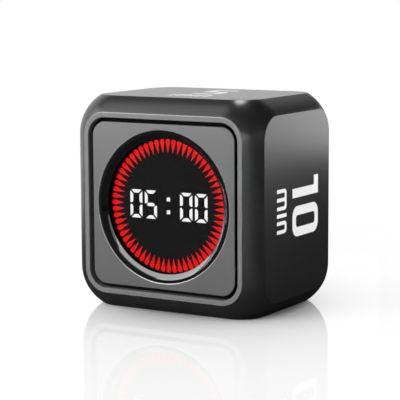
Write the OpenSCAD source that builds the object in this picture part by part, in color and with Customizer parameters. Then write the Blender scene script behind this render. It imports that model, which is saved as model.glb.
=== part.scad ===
// Flip timer: a rounded cube that counts down the minutes printed on whichever side is turned up.
// Parts are drawn round the middle of the body, front towards -Y, and lifted to stand on Z = 0.

/* [Body] */
// Width and height of the body, the square that it is flipped on
body_side = 64; // [56:1:80]
// Depth of the body from front to back
body_d = 50; // [44:1:70]
// Radius of the rounded edges and corners before the flats are cut
edge_r = 13.9; // [12:0.1:15]
// Corner radius of the flats that cut the rounded block
flat_corner_r = 7.2; // [6:0.1:8]
// Wall of the housing and of the rounded part of the rear cover
wall = 2.2; // [1.8:0.1:2.6]

/* [Front] */
// Width of the flat rim round the front
rim_w = 1.6; // [1.2:0.1:2.2]
// Width of the groove between the rim and the panel
groove_w = 1.2; // [0.8:0.1:1.6]
// How far the panel lies behind the rim
panel_recess = 0.6; // [0.3:0.1:1]
// Thickness of the front panel
panel_t = 2; // [1.6:0.1:2.6]
// Narrowest strip of panel beside the round window
panel_margin = 1.9; // [1.4:0.1:3]
// Radius of the pegs that locate the panel in the ledge
peg_r = 1.1; // [0.9:0.1:1.3]
// How far the melted head of a peg reaches beyond the peg
peg_head_w = 0.5; // [0.3:0.1:0.7]
// Thickness of the melted head of a peg
peg_head_t = 0.7; // [0.5:0.1:0.9]
// Distance from the side of the panel to a peg
peg_inset_x = 7.9; // [7.4:0.1:8.4]
// Distance from the top or bottom of the panel to a peg
peg_inset_z = 3; // [2.7:0.1:3.3]

/* [Window ring] */
// Flat lip of the ring beside the panel
ring_lip_w = 0.25; // [0.2:0.05:0.4]
// How far the lip stands out of the panel
ring_proud = 0.1; // [0:0.05:0.2]
// Width of the steep outer bevel
ring_bevel_w = 0.6; // [0.4:0.1:0.9]
// Depth of the steep outer bevel
ring_bevel_d = 0.75; // [0.5:0.05:0.9]
// Width of the shallow dish inside the bevel
ring_dish_w = 1.6; // [1.2:0.1:2]
// Depth of the shallow dish
ring_dish_d = 0.7; // [0.4:0.05:0.8]
// Gap between the ring and the panel
ring_fit = 0.05; // [0.02:0.01:0.1]

/* [Lens] */
// Thickness of the clear lens
lens_t = 1.2; // [1:0.1:2]
// How far the lens reaches behind the ring
lens_overlap = 1.2; // [0.9:0.1:1.6]
// Thickness of the seal between ring and lens
seal_t = 0.2; // [0.1:0.05:0.3]
// How far the seal stays back from the edge of the ring
seal_setback = 0.2; // [0.1:0.05:0.4]
// Gap round and behind the lens
lens_fit = 0.1; // [0.05:0.05:0.2]

/* [Display] */
// Number of marks in the ring, one for each second
mark_count = 60; // [48:1:72]
// Gap between the heads of two marks
mark_gap = 0.53; // [0.4:0.01:0.7]
// Length of a mark from its head to its point as a share of the ring's radius
mark_share = 0.2067; // [0.18:0.0001:0.23]
// Gap between the marks and the edge of the window ring
mark_margin = 0.25; // [0.1:0.05:0.6]
// Height of a digit as a share of the room inside the marks
digit_share = 0.6035; // [0.5:0.0005:0.65]
// Gap between the points of the marks and the corners of the digits
digit_margin = 1.65; // [1.2:0.05:2.4]
// Gap between the two digits of a pair as a share of their height
digit_gap_share = 0.1; // [0.07:0.005:0.14]
// Gap from the middle of the colon to the nearest digit as a share of the digits' height
colon_gap_share = 0.4706; // [0.35:0.0002:0.54]
// Width of a lit segment as a share of the digits' height
seg_share = 0.1235; // [0.095:0.0005:0.14]
// Gap between two segments as a share of the digits' height
seg_gap_share = 0.042; // [0.03:0.001:0.05]
// Side of a colon dot as a share of the digits' height
colon_dot_share = 0.1412; // [0.11:0.0002:0.16]
// Height of a colon dot above or below the middle as a share of the digits' height
colon_rise_share = 0.2235; // [0.18:0.0005:0.28]
// Depth of the light mask
mask_t = 4; // [3.7:0.1:5]
// Width of the mask outside the lens
mask_rim = 2.3; // [1.8:0.1:2.5]
// Depth of a light guide in its window
guide_t = 2.8; // [2.2:0.1:3]
// Gap between a light guide and its window
guide_fit = 0.05; // [0.02:0.01:0.08]
// Height of a lamp on the board
led_h = 0.6; // [0.4:0.1:0.6]
// Gap between a lamp and the wall of its window
led_gap = 0.12; // [0.08:0.01:0.18]
// Length of a lamp behind a segment as a share of the digits' height
seg_led_share = 0.1765; // [0.12:0.0005:0.2]

/* [Display board] */
// Thickness of both circuit boards
board_t = 1.6; // [1:0.2:2]
// Width of the display board outside the mask
board_rim = 0.3; // [0.1:0.1:0.4]
// Radius of a post that the display board is screwed to
post_r = 2.4; // [2.1:0.1:2.6]
// Distance from the side wall to the middle of such a post
post_inset = 3.2; // [2.8:0.1:3.3]
// Width of the board round the middle of its posts
ear_w = 0.4; // [0.2:0.1:0.5]
// Thickness of the web that joins a post to the side wall
post_web = 2; // [1.4:0.1:2.4]
// Shank radius of the small screws
small_screw_r = 0.8; // [0.7:0.05:0.9]
// Length of the small screws below the head
small_screw_len = 4.8; // [4:0.1:5.4]
// Head radius of the small screws
small_head_r = 1.7; // [1.4:0.1:1.9]
// Head height of the small screws
small_head_h = 1.2; // [0.9:0.1:1.4]
// Gap between a screw and its pilot hole
pilot_fit = 0.05; // [0.02:0.01:0.08]
// Gap between a screw and the hole that it passes through
screw_clear = 0.25; // [0.15:0.05:0.35]
// Depth of a pilot hole beyond the end of its screw
pilot_end = 0.4; // [0.2:0.1:0.6]
// Length of the cross in a screw head as a share of the head's radius
cross_len = 1.15; // [0.9:0.05:1.3]
// Width of the cross in a screw head as a share of the head's radius
cross_w = 0.3; // [0.2:0.05:0.4]
// Depth of the cross in a screw head as a share of the head's height
cross_d = 0.5; // [0.3:0.05:0.6]

/* [Rear cover] */
// Thickness of the rear cover
cover_t = 2.4; // [2.1:0.1:2.8]
// Depth of the recess that holds the controls
back_recess = 0.8; // [0.5:0.1:0.9]
// Distance from the edge of the back flat to the recess
recess_margin = 9.2; // [8:0.1:9.8]
// Corner radius of the recess
recess_r = 4; // [2:0.5:6]
// Thickness of the lip that enters the housing
lip_t = 1.2; // [1:0.1:1.4]
// Length of the lip that enters the housing
lip_h = 2; // [1.5:0.1:2.5]
// Gap between the lip and the housing
lip_fit = 0.12; // [0.06:0.02:0.2]
// Distance from the edge of the back flat to a cover screw
screw_inset = 4.25; // [3.9:0.05:4.6]
// Radius of the screw bosses
boss_r = 3; // [2.7:0.1:3.2]
// Thickness of the webs that tie the bosses to the side walls
boss_web = 1.2; // [0.9:0.1:1.5]
// Gap between the webs and the lip of the cover
web_gap = 0.5; // [0.3:0.1:0.8]
// Height of the bosses of the cover
cover_boss_h = 2.8; // [2.4:0.1:3.2]
// Shank radius of the cover screws
cover_screw_r = 1.15; // [1:0.05:1.25]
// Length of the cover screws below the head
cover_screw_len = 10; // [8:0.5:12]
// Head radius of the cover screws
cover_head_r = 2.1; // [1.9:0.1:2.3]
// Head height of the cover screws
cover_head_h = 1.6; // [1.2:0.1:1.8]
// How far the heads lie below the back
cover_head_sink = 0.4; // [0.2:0.1:0.6]
// Radius of a sound hole
sound_r = 0.75; // [0.5:0.05:0.9]
// Distance from the middle sound hole to the others
sound_pitch = 2.4; // [2:0.1:2.6]

/* [Buttons] */
// Radius of a button
button_r = 4; // [3.4:0.1:4.4]
// Distance from the middle to each button
button_x = 13; // [12.4:0.1:13.4]
// Travel of a button
button_travel = 0.4; // [0.3:0.05:0.5]
// Radius of the rolled edge of a button
button_edge = 0.5; // [0.3:0.1:0.7]
// How far the controls lie below the plane of the back
control_sink = 0.1; // [0.05:0.05:0.3]
// Width of the flange that holds a button in
button_flange_w = 0.9; // [0.7:0.1:1.1]
// Thickness of the flange of a moving control
flange_t = 0.9; // [0.7:0.1:1]
// Gap between a flange and the cover above it
flange_gap = 0.1; // [0.05:0.05:0.15]
// Gap round a moving control
run_gap = 0.2; // [0.15:0.05:0.3]
// Thickness of the guide walls inside the cover
guide_wall = 0.8; // [0.6:0.1:1]
// Height of the guide walls inside the cover
guide_wall_h = 1.3; // [1:0.1:1.6]
// Side of a press switch
tact_side = 6.2; // [5.6:0.1:6.6]
// Radius of the plunger of a press switch
plunger_r = 1.75; // [1.4:0.05:2]
// How far a plunger stands out of its switch
plunger_proud = 0.7; // [0.6:0.05:0.9]
// Depth of a plunger inside its switch
plunger_in = 1; // [0.8:0.1:1.2]

/* [Sound switch] */
// Height of the sound switch above the middle of the back
switch_z = 13; // [12.5:0.1:13.5]
// Travel of the sound switch to each side
switch_travel = 2; // [1.5:0.1:2.2]
// Length of the knob that shows
knob_len = 5.4; // [4.6:0.1:6]
// Width of the knob that shows
knob_w = 3.2; // [2.8:0.1:3.6]
// Width of the flange beyond the knob
knob_flange_w = 1.1; // [0.9:0.1:1.3]
// How far the flange still covers the end of the slot at the end of its travel
knob_cover = 0.3; // [0.2:0.1:0.5]
// Depth of the finger grooves
knob_groove = 0.4; // [0.3:0.05:0.5]
// Length of the lever of the slide switch
lever_len = 1.8; // [1.4:0.1:2]
// Width of the lever of the slide switch
lever_w = 1.6; // [1.3:0.1:1.8]
// How far the lever reaches into the knob
lever_grip = 1.6; // [1:0.1:1.8]
// Gap between the lever and its pocket
lever_fit = 0.05; // [0.02:0.01:0.1]
// Gap between the knob and the slide switch
lever_gap = 0.5; // [0.3:0.1:0.7]
// Sheet thickness of the slide switch
can_t = 0.3; // [0.2:0.05:0.4]
// Width of the slide switch
can_w = 4.6; // [4.2:0.1:5]
// Length of the sliding block inside the slide switch
block_len = 5; // [4.4:0.1:5.4]
// Gap round the sliding block
block_gap = 0.15; // [0.1:0.05:0.2]
// Thickness of the base of the slide switch
switch_base_t = 1.2; // [1:0.1:1.4]

/* [Charging socket] */
// Height of the socket below the middle of the back
usb_z = 13; // [12:0.1:13.5]
// Width of the socket
usb_w = 8.94; // [8.6:0.02:9.2]
// Height of the socket's mouth
usb_h = 3.26; // [3:0.02:3.4]
// Length of the socket above its board
usb_len = 6.5; // [6:0.1:7.5]
// Sheet thickness of the socket
usb_t = 0.33; // [0.25:0.01:0.4]
// Thickness of the floor of the socket
usb_floor = 1; // [0.8:0.1:1.4]
// Width of the contact tongue
tongue_w = 6.7; // [6.2:0.1:6.9]
// Thickness of the contact tongue
tongue_t = 0.7; // [0.6:0.05:0.8]
// How far the tongue ends below the mouth
tongue_setback = 0.7; // [0.5:0.1:0.9]
// How far the mouth lies below the recess
usb_setback = 0.3; // [0.1:0.1:0.5]
// Gap between the socket and the cover
usb_gap = 0.2; // [0.1:0.05:0.3]

/* [Sounder and battery] */
// Radius of the buzzer
buzzer_r = 6; // [5.4:0.1:6.2]
// Thickness of the foam ring on the buzzer
foam_t = 0.8; // [0.5:0.1:1]
// How far the foam ring stays back from the edge of the buzzer
foam_inset = 0.5; // [0.3:0.1:0.8]
// Width of the foam ring
foam_w = 1.9; // [1.4:0.1:2.2]
// Radius of the sound hole in the buzzer
buzzer_hole_r = 1; // [0.7:0.1:1.4]
// Depth of the sound hole in the buzzer
buzzer_hole_d = 1; // [0.6:0.1:1.4]
// Length of the battery
battery_len = 36; // [30:1:38]
// Width of the battery
battery_w = 26; // [20:1:27]
// Thickness of the battery
battery_t = 8; // [6:0.5:9]
// Radius of the long edges of the battery
battery_r = 1.5; // [1:0.1:2.5]
// Thickness of the foam pad under the battery
pad_t = 1; // [0.6:0.1:1.5]
// Margin of the foam pad inside the battery
pad_margin = 3; // [2:0.5:4]
// Radius of a battery lead
lead_r = 0.55; // [0.4:0.05:0.6]
// Bend radius of a battery lead
lead_bend = 1.5; // [1.2:0.1:1.8]
// Distance from the middle to each lead
lead_x = 1; // [0.8:0.1:1.2]
// Width of the plug of the battery
plug_w = 5.6; // [4.8:0.1:6.4]
// Depth of the plug of the battery
plug_d = 3.5; // [3:0.1:4]
// Height of the plug of the battery
plug_h = 3.5; // [3:0.1:4]
// Gap between the battery and its plug
plug_gap = 2.5; // [2:0.1:3]

/* [Main board] */
// Gap between the main board and the bosses of the housing
board_gap = 0.5; // [0.3:0.1:0.8]
// Corner radius of the main board
board_corner_r = 2; // [1:0.1:3]
// Distance from the edge of the main board to a board screw
board_screw_inset = 3; // [2.7:0.1:3.3]
// Width of a cable connector
connector_w = 13; // [11:0.1:15]
// Depth of a cable connector
connector_d = 2; // [1.6:0.1:2.4]
// Height of a cable connector
connector_h = 4; // [3:0.1:4.6]
// Gap between the battery and the cable connector below it
connector_gap = 1; // [0.6:0.1:1.4]
// Width of the flat cable
ribbon_w = 10; // [8:0.1:11]
// Thickness of the flat cable
ribbon_t = 0.3; // [0.2:0.05:0.4]
// How far the flat cable bows out between its connectors
ribbon_bow = 4; // [3:0.1:5]

/* [Chips] */
// Gap between a chip and the parts beside it
chip_gap = 1; // [0.6:0.1:1.2]
// Distance from a pin mark to the edges of its chip
pin_inset = 0.8; // [0.6:0.1:1]
// Radius of a pin mark
pin_r = 0.3; // [0.2:0.05:0.4]
// Depth of a pin mark
pin_d = 0.1; // [0.05:0.01:0.2]
// Width of the lamp driver
driver_w = 12; // [9:0.1:14]
// Height of the lamp driver
driver_h = 7.5; // [5:0.1:9]
// Thickness of the lamp driver
driver_t = 1.8; // [1:0.1:2.4]
// Distance from the middle of the display board to the lamp driver
driver_z = 5; // [3:0.1:8]
// Side of the microcontroller
controller_side = 5; // [4:0.1:6]
// Thickness of the microcontroller
controller_t = 1; // [0.7:0.1:1.4]
// Side of the gravity sensor
sensor_side = 3; // [2:0.1:3.6]
// Thickness of the gravity sensor
sensor_t = 1; // [0.7:0.1:1.2]
// Length of the timing crystal
crystal_len = 7; // [5:0.1:8]
// Width of the timing crystal
crystal_w = 3; // [2.4:0.1:3.4]
// Height of the timing crystal
crystal_h = 2.6; // [2:0.1:3.2]
// Width of the charge chip
charger_w = 5; // [4:0.1:6]
// Height of the charge chip
charger_h = 4; // [3:0.1:4.6]
// Thickness of the charge chip
charger_t = 1.5; // [1:0.1:1.8]

/* [Hidden] */
$fn = 64;
eps = 0.01;

// The rounded block: its edge arcs are centred arc_in behind each flat, so each flat cuts them
arc_in = sqrt(edge_r * edge_r - flat_corner_r * flat_corner_r);
half = body_side / 2;
front_y = -body_d / 2;
back_y = body_d / 2;
arc_x = half - arc_in;
arc_y = back_y - arc_in;
strip = arc_in - flat_corner_r;
flat_half = half - strip;
inner_r = edge_r - wall;
inner_half = half - wall;
parting_y = back_y - strip;

// The front, in steps back from the rim
pocket_half = flat_half - rim_w;
pocket_r = flat_corner_r - rim_w;
panel_half = pocket_half - groove_w;
panel_r = pocket_r - groove_w;
panel_y = front_y + panel_recess;
ledge_y = panel_y + panel_t;
wall_y = ledge_y + lens_t + lens_fit;
window_r = panel_half - panel_margin;
ring_r = window_r - ring_fit;
ring_inner_r = ring_r - ring_lip_w - ring_bevel_w - ring_dish_w;
lens_r = ring_inner_r + lens_overlap;
opening_r = lens_r + lens_fit;
peg_head_r = peg_r + peg_head_w;
peg_x = panel_half - peg_inset_x;
peg_z = panel_half - peg_inset_z;

// The ring of marks and the digits
mark_outer_r = ring_inner_r - mark_margin;
pitch_sine = sin(180 / mark_count);
mark_head_r = (mark_outer_r * pitch_sine - mark_gap / 2) / (1 + pitch_sine);
mark_centre_r = mark_outer_r - mark_head_r;
mark_len = mark_outer_r * mark_share;
mark_slope = asin(mark_head_r / (mark_len - mark_head_r));
digit_reach = mark_outer_r - mark_len - digit_margin;
digit_h = digit_reach * digit_share;
digit_gap = digit_h * digit_gap_share;
colon_gap = digit_h * colon_gap_share;
seg_t = digit_h * seg_share;
seg_gap = digit_h * seg_gap_share;
colon_dot = digit_h * colon_dot_share;
colon_rise = digit_h * colon_rise_share;
digits_half = sqrt(digit_reach * digit_reach - digit_h * digit_h / 4);
digit_w = (digits_half - colon_gap - digit_gap) / 2;
digit_near = colon_gap + digit_w / 2;
digit_far = digit_near + digit_w + digit_gap;
digit_x = [-digit_far, -digit_near, digit_near, digit_far];
mask_r = opening_r + mask_rim;
mark_led = (mark_head_r - led_gap) * sqrt(2);
seg_led = [digit_h * seg_led_share, seg_t - 2 * led_gap];

// The display board and its posts
display_y = wall_y + mask_t;
display_back = display_y + board_t;
board_r = mask_r + board_rim;
post_x = inner_half - post_inset;
ear_r = post_r + ear_w;
connector_z = -(battery_w + connector_h) / 2 - connector_gap;

// The back, in steps forward from the back flat
inner_back = back_y - cover_t;
recess_half = flat_half - recess_margin;
floor_y = back_y - back_recess;
control_y = back_y - control_sink;
flange_top = inner_back - flange_gap;
flange_y = flange_top - flange_t;
usb_mouth = floor_y - usb_setback;
main_back = usb_mouth - usb_len;
main_y = main_back - board_t;
screw_x = flat_half - screw_inset;
boss_top = inner_back - cover_boss_h;
head_y = back_y - cover_head_sink - cover_head_h;
main_half = screw_x - boss_r - board_gap;
board_screw_x = main_half - board_screw_inset;
tact_top = flange_y - plunger_proud;
button_flange_r = button_r + button_flange_w;
can_top = flange_y - lever_gap;
can_len = block_len + 2 * switch_travel + 2 * block_gap + 2 * can_t;
slot_half = knob_len / 2 + switch_travel + run_gap;
knob_flange_half = slot_half + switch_travel + knob_cover;
knob_flange_z = knob_w / 2 + knob_flange_w;
buzzer_top = inner_back - foam_t;
foam_r = buzzer_r - foam_inset;
pad_y = main_y - pad_t;
battery_y = pad_y - battery_t;
lead_z = battery_w / 2;
plug_z = lead_z + plug_gap + plug_h / 2;

// Places of the chips, in the corners between the buttons, the switch and the socket
chip_z = tact_side / 2 + chip_gap;
upper_chip_x = can_len / 2 + chip_gap;
lower_chip_x = usb_w / 2 + chip_gap;

// Placing helpers

// Extrudes a drawing of the XZ plane from y0 to y1.
module slab(y0, y1) translate([0, y1, 0]) rotate([90, 0, 0]) linear_extrude(y1 - y0) children();

// Turns a profile of radius and Y round the Y axis.
module turned() rotate([-90, 0, 0]) rotate_extrude() children();

// A rod along Y from y0 to y1.
module rod(r, y0, y1) translate([0, y0, 0]) rotate([-90, 0, 0]) cylinder(r = r, h = y1 - y0);

// A box centred on X and Z from y0 to y1.
module bar(w, h, y0, y1) translate([-w / 2, y0, -h / 2]) cube([w, y1 - y0, h]);

// Copies at the four corners of a rectangle, each mirrored so that its +X and +Z face outwards.
module at_corners(x, z) for (i = [0, 1], k = [0, 1])
    mirror([i, 0, 0]) mirror([0, 0, k]) translate([x, 0, z]) children();

// Copies at the middles of the four sides, each turned to face outwards.
module at_sides() for (turn = [0 : 90 : 270]) rotate([0, turn, 0]) children();

// Lifts the model so that it stands on its lower side.
module on_base() translate([0, 0, half]) children();

// Outlines

module rounded_rect(w, h, r) {
    square([w, h - 2 * r], center = true);
    square([w - 2 * r, h], center = true);
    for (i = [-1, 1], k = [-1, 1]) translate([i * (w / 2 - r), k * (h / 2 - r)]) circle(r);
}

// Section of the body across Y: a square of half-width h whose corners are arcs of radius r.
module body_section(r, h) intersection() {
    square(2 * h, center = true);
    union() {
        square([2 * h, 2 * arc_x], center = true);
        square([2 * arc_x, 2 * h], center = true);
        for (i = [-1, 1], k = [-1, 1]) translate([i * arc_x, k * arc_x]) circle(r);
    }
}

// A mark with its head out along +Y and its point towards the middle, made larger by grow.
module mark_outline(grow) translate([0, mark_centre_r]) {
    r = mark_head_r + grow;
    circle(r);
    polygon([[0, -r / sin(mark_slope)],
        [r * cos(mark_slope), -r * sin(mark_slope)],
        [-r * cos(mark_slope), -r * sin(mark_slope)]]);
}

// Outlines of all marks of the ring.
module marks_outline(grow) for (i = [0 : mark_count - 1]) rotate(-i * 360 / mark_count) mark_outline(grow);

// An outer segment lying along +X: long side out along +Y, mitred ends.
module outer_segment(len, grow) polygon([
    [-len / 2 - grow * (1 + sqrt(2)), grow], [len / 2 + grow * (1 + sqrt(2)), grow],
    [len / 2 - seg_t - grow * (1 - sqrt(2)), -seg_t - grow],
    [-len / 2 + seg_t + grow * (1 - sqrt(2)), -seg_t - grow]]);

// The middle segment: a bar with two pointed ends.
module middle_segment(len, grow) {
    t = seg_t / 2 + grow;
    e = len / 2 + grow * sqrt(2);
    polygon([[-e, 0], [-e + t, t], [e - t, t], [e, 0], [e - t, -t], [-e + t, -t]]);
}

// An upright segment of the right side of a digit, from the middle bar to the top.
module upright_segment(grow) {
    x = digit_w / 2;
    top = digit_h / 2 - seg_gap;
    low = seg_gap * sqrt(2) / 2;
    polygon([[x + grow, top + grow * (1 + sqrt(2))], [x + grow, low - grow],
        [x - seg_t / 2, low - grow * sqrt(2)],
        [x - seg_t - grow, low + seg_t / 2 - grow * (sqrt(2) - 1)],
        [x - seg_t - grow, top - seg_t + grow * (sqrt(2) - 1)]]);
}

// The seven segments of one digit.
module digit_outline(grow) {
    bar_len = digit_w - 2 * seg_gap;
    for (turn = [0, 180]) rotate(turn) translate([0, digit_h / 2]) outer_segment(bar_len, grow);
    middle_segment(digit_w - seg_t - seg_gap, grow);
    for (i = [0, 1], k = [0, 1]) mirror([i, 0]) mirror([0, k]) upright_segment(grow);
}

// All digits and the colon.
module digits_outline(grow) {
    for (x = digit_x) translate([x, 0]) digit_outline(grow);
    for (k = [-1, 1]) translate([0, k * colon_rise]) square(colon_dot + 2 * grow, center = true);
}

// A slot with round ends.
module slot_outline(w, h) {
    square([w - h, h], center = true);
    for (i = [-1, 1]) translate([i * (w - h) / 2, 0]) circle(h / 2);
}

// Solid shapes used by more than one part

// The rounded block with edge arcs of radius r, cut by flats at h to each side and at y0 and y1.
// Its arcs are centred at front_arc and back_arc along Y.
module rounded_block(r, h, y0, y1, front_arc, back_arc) {
    intersection() {
        bar(2 * h, 2 * h, y0, y1);
        union() {
            bar(2 * h, 2 * arc_x, front_arc, back_arc);
            bar(2 * arc_x, 2 * h, front_arc, back_arc);
            bar(2 * arc_x, 2 * arc_x, y0, y1);
            at_corners(arc_x, arc_x) rod(r, front_arc, back_arc);
            for (y = [front_arc, back_arc], k = [-1, 1]) translate([0, y, k * arc_x]) {
                rotate([0, 90, 0]) cylinder(r = r, h = 2 * arc_x, center = true);
                for (i = [-1, 1]) translate([i * arc_x, 0, 0]) sphere(r);
            }
            for (y = [front_arc, back_arc], i = [-1, 1]) translate([i * arc_x, y, 0])
                cylinder(r = r, h = 2 * arc_x, center = true);
        }
    }
}

// A screw with its head from y towards -Y or, with way = 1, towards +Y.
module screw(shank_r, len, head_r, head_h, way) mirror([0, (1 + way) / 2, 0]) difference() {
    union() {
        rod(shank_r, -eps, len);
        rod(head_r, -head_h, 0);
    }
    for (turn = [0, 90]) rotate([0, turn, 0])
        bar(cross_len * head_r, cross_w * head_r, -head_h - eps, -head_h + cross_d * head_h);
}

// A chip with its pin mark, standing to +Y on the face of a board at y.
module chip(w, h, t, y) difference() {
    bar(w, h, y, y + t);
    translate([-w / 2 + pin_inset, 0, h / 2 - pin_inset]) rod(pin_r, y + t - pin_d, y + t + eps);
}

// Front and housing

module main_housing() color("#26272a") difference() {
    union() {
        difference() {
            rounded_block(edge_r, half, front_y, parting_y, -arc_y, arc_y);
            rounded_block(inner_r, inner_half, wall_y, parting_y + eps, -arc_y, body_d);
        }
        at_corners(screw_x, screw_x) housing_boss();
        at_sides() display_post();
    }
    slab(front_y - eps, ledge_y) rounded_rect(2 * pocket_half, 2 * pocket_half, pocket_r);
    rod(opening_r, ledge_y - eps, wall_y + eps);
    at_corners(peg_x, peg_z) rod(peg_r + pilot_fit, ledge_y - eps, wall_y + eps);
    at_corners(screw_x, screw_x)
        rod(cover_screw_r + pilot_fit, head_y - cover_screw_len - pilot_end, boss_top + eps);
    at_sides() translate([post_x, 0, 0])
        rod(small_screw_r + pilot_fit, display_back - small_screw_len - pilot_end, display_y + eps);
}

// Long boss for a cover screw, tied to both side walls by webs.
module housing_boss() {
    web_len = inner_half + wall / 2 - screw_x;
    web_end = parting_y - lip_h - web_gap;
    rod(boss_r, wall_y - eps, boss_top);
    translate([web_len / 2, 0, 0]) bar(web_len, boss_web, wall_y - eps, web_end);
    translate([0, 0, web_len / 2]) bar(boss_web, web_len, wall_y - eps, web_end);
}

// Post for the display board, joined to the side wall.
module display_post() {
    translate([post_x, 0, 0]) rod(post_r, wall_y - eps, display_y);
    translate([(post_x + inner_half + eps) / 2, 0, 0])
        bar(inner_half + eps - post_x, post_web, wall_y - eps, display_y);
}

module front_panel() color("#6f7072") {
    difference() {
        slab(panel_y, ledge_y) rounded_rect(2 * panel_half, 2 * panel_half, panel_r);
        rod(window_r, panel_y - eps, ledge_y + eps);
    }
    at_corners(peg_x, peg_z) {
        rod(peg_r, ledge_y - eps, wall_y + eps);
        rod(peg_head_r, wall_y, wall_y + peg_head_t);
    }
}

module window_ring() color("#101113") turned() {
    lip_y = panel_y - ring_proud;
    bevel_y = lip_y + ring_bevel_d;
    dish_y = bevel_y + ring_dish_d;
    under_y = ledge_y - seal_t;
    bevel_r = ring_r - ring_lip_w;
    dish_r = bevel_r - ring_bevel_w;
    polygon([[ring_r, ledge_y], [ring_r, lip_y], [bevel_r, lip_y], [dish_r, bevel_y],
        [ring_inner_r, dish_y], [ring_inner_r, under_y], [opening_r, under_y], [opening_r, ledge_y]]);
}

module lens_seal() color("#18181a") turned()
    translate([ring_inner_r + seal_setback, ledge_y - seal_t])
        square([lens_r - ring_inner_r - seal_setback, seal_t]);

module display_lens() color("#2a2c30", 0.4) rod(lens_r, ledge_y, ledge_y + lens_t);

// Display

module light_mask() color("#141416") slab(wall_y, display_y) difference() {
    circle(mask_r);
    marks_outline(guide_fit);
    digits_outline(guide_fit);
}

module mark_guides() color("#e8191c") slab(wall_y, wall_y + guide_t) marks_outline(0);

module digit_guides() color("white") slab(wall_y, wall_y + guide_t) digits_outline(0);

module display_board() color("#1c4a2e") slab(display_y, display_back) difference() {
    union() {
        circle(board_r);
        for (turn = [0 : 90 : 270]) rotate(turn) {
            translate([post_x, 0]) circle(ear_r);
            translate([post_x / 2, 0]) square([post_x, 2 * ear_r], center = true);
        }
    }
    for (turn = [0 : 90 : 270]) rotate(turn) translate([post_x, 0]) circle(small_screw_r + screw_clear);
}

module display_leds() color("#f3efe2") slab(display_y - led_h, display_y) {
    for (i = [0 : mark_count - 1]) rotate(-i * 360 / mark_count)
        translate([0, mark_centre_r]) square(mark_led, center = true);
    for (x = digit_x) translate([x, 0]) {
        for (k = [-1, 0, 1]) translate([0, k * (digit_h - seg_t) / 2]) square(seg_led, center = true);
        for (i = [-1, 1], k = [-1, 1]) translate([i * (digit_w - seg_t) / 2, k * digit_h / 4])
            rotate(90) square(seg_led, center = true);
    }
    for (k = [-1, 1]) translate([0, k * colon_rise]) square(colon_dot - 2 * led_gap, center = true);
}

module led_driver() color("#1b1b1d") translate([0, 0, driver_z])
    chip(driver_w, driver_h, driver_t, display_back);

module display_screws() color("silver") at_sides() translate([post_x, display_back, 0])
    screw(small_screw_r, small_screw_len, small_head_r, small_head_h, 1);

module display_connector() color("#d8d2c0") translate([0, 0, connector_z])
    bar(connector_w, connector_h, display_back, display_back + connector_d);

// Flat cable bowed in one arc between its two connectors.
module ribbon_cable() color("#e9e6dc") {
    y0 = display_back + connector_d;
    y1 = main_y - connector_d;
    span = (y1 - y0) / 2;
    bend = (span * span + ribbon_bow * ribbon_bow) / (2 * ribbon_bow);
    translate([-ribbon_w / 2, (y0 + y1) / 2, connector_z]) rotate([90, 0, 90]) linear_extrude(ribbon_w)
        intersection() {
            translate([0, bend - ribbon_bow]) difference() {
                circle(bend + ribbon_t / 2);
                circle(bend - ribbon_t / 2);
            }
            translate([-span, -2 * ribbon_bow]) square([2 * span, 2 * ribbon_bow + ribbon_t]);
        }
}

// Main board and what it carries

module main_connector() color("#d8d2c0") translate([0, 0, connector_z])
    bar(connector_w, connector_h, main_y - connector_d, main_y);

module main_board() color("#1c4a2e") slab(main_y, main_back) difference() {
    rounded_rect(2 * main_half, 2 * main_half, board_corner_r);
    for (i = [-1, 1], k = [-1, 1]) translate([i * board_screw_x, k * board_screw_x])
        circle(small_screw_r + screw_clear);
}

module microcontroller() color("#1b1b1d")
    translate([-lower_chip_x - controller_side / 2, 0, -chip_z - controller_side / 2])
        chip(controller_side, controller_side, controller_t, main_back);

module gravity_sensor() color("#2b2b2e")
    translate([lower_chip_x + sensor_side / 2, 0, -chip_z - sensor_side / 2])
        chip(sensor_side, sensor_side, sensor_t, main_back);

module timing_crystal() color("silver")
    translate([upper_chip_x + crystal_len / 2, 0, chip_z + crystal_w / 2])
        slab(main_back, main_back + crystal_h) slot_outline(crystal_len, crystal_w);

module charge_chip() color("#1b1b1d")
    translate([-upper_chip_x - charger_w / 2, 0, chip_z + charger_h / 2])
        chip(charger_w, charger_h, charger_t, main_back);

module usb_socket() color("silver") translate([0, 0, -usb_z]) difference() {
    slab(main_back, usb_mouth) slot_outline(usb_w, usb_h);
    slab(main_back + usb_floor, usb_mouth + eps) slot_outline(usb_w - 2 * usb_t, usb_h - 2 * usb_t);
}

module usb_tongue() color("#202022") translate([0, 0, -usb_z])
    bar(tongue_w, tongue_t, main_back + usb_floor, usb_mouth - tongue_setback);

module buzzer() color("#151517") difference() {
    rod(buzzer_r, main_back, buzzer_top);
    rod(buzzer_hole_r, buzzer_top - buzzer_hole_d, buzzer_top + eps);
}

module buzzer_foam() color("#3a3a3d") difference() {
    rod(foam_r, buzzer_top, inner_back);
    rod(foam_r - foam_w, buzzer_top - eps, inner_back + eps);
}

module battery() color("#b9bcc0") translate([-battery_len / 2, battery_y + battery_t / 2, 0])
    rotate([90, 0, 90]) linear_extrude(battery_len) rounded_rect(battery_t, battery_w, battery_r);

module battery_pad() color("#4a4a4d")
    bar(battery_len - 2 * pad_margin, battery_w - 2 * pad_margin, pad_y, main_y);

// Two wires out of the battery's edge, bent into the plug.
module battery_leads() for (side = [-1, 1]) color(side > 0 ? "#c2231f" : "#161618")
    translate([side * lead_x, main_y - plug_d - lead_bend, 0]) {
        translate([0, 0, lead_z]) cylinder(r = lead_r, h = plug_z - lead_bend - lead_z + eps);
        translate([0, lead_bend, plug_z - lead_bend]) rotate([0, -90, 0]) rotate([0, 0, 180])
            rotate_extrude(angle = 90) translate([lead_bend, 0]) circle(lead_r);
    }

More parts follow.
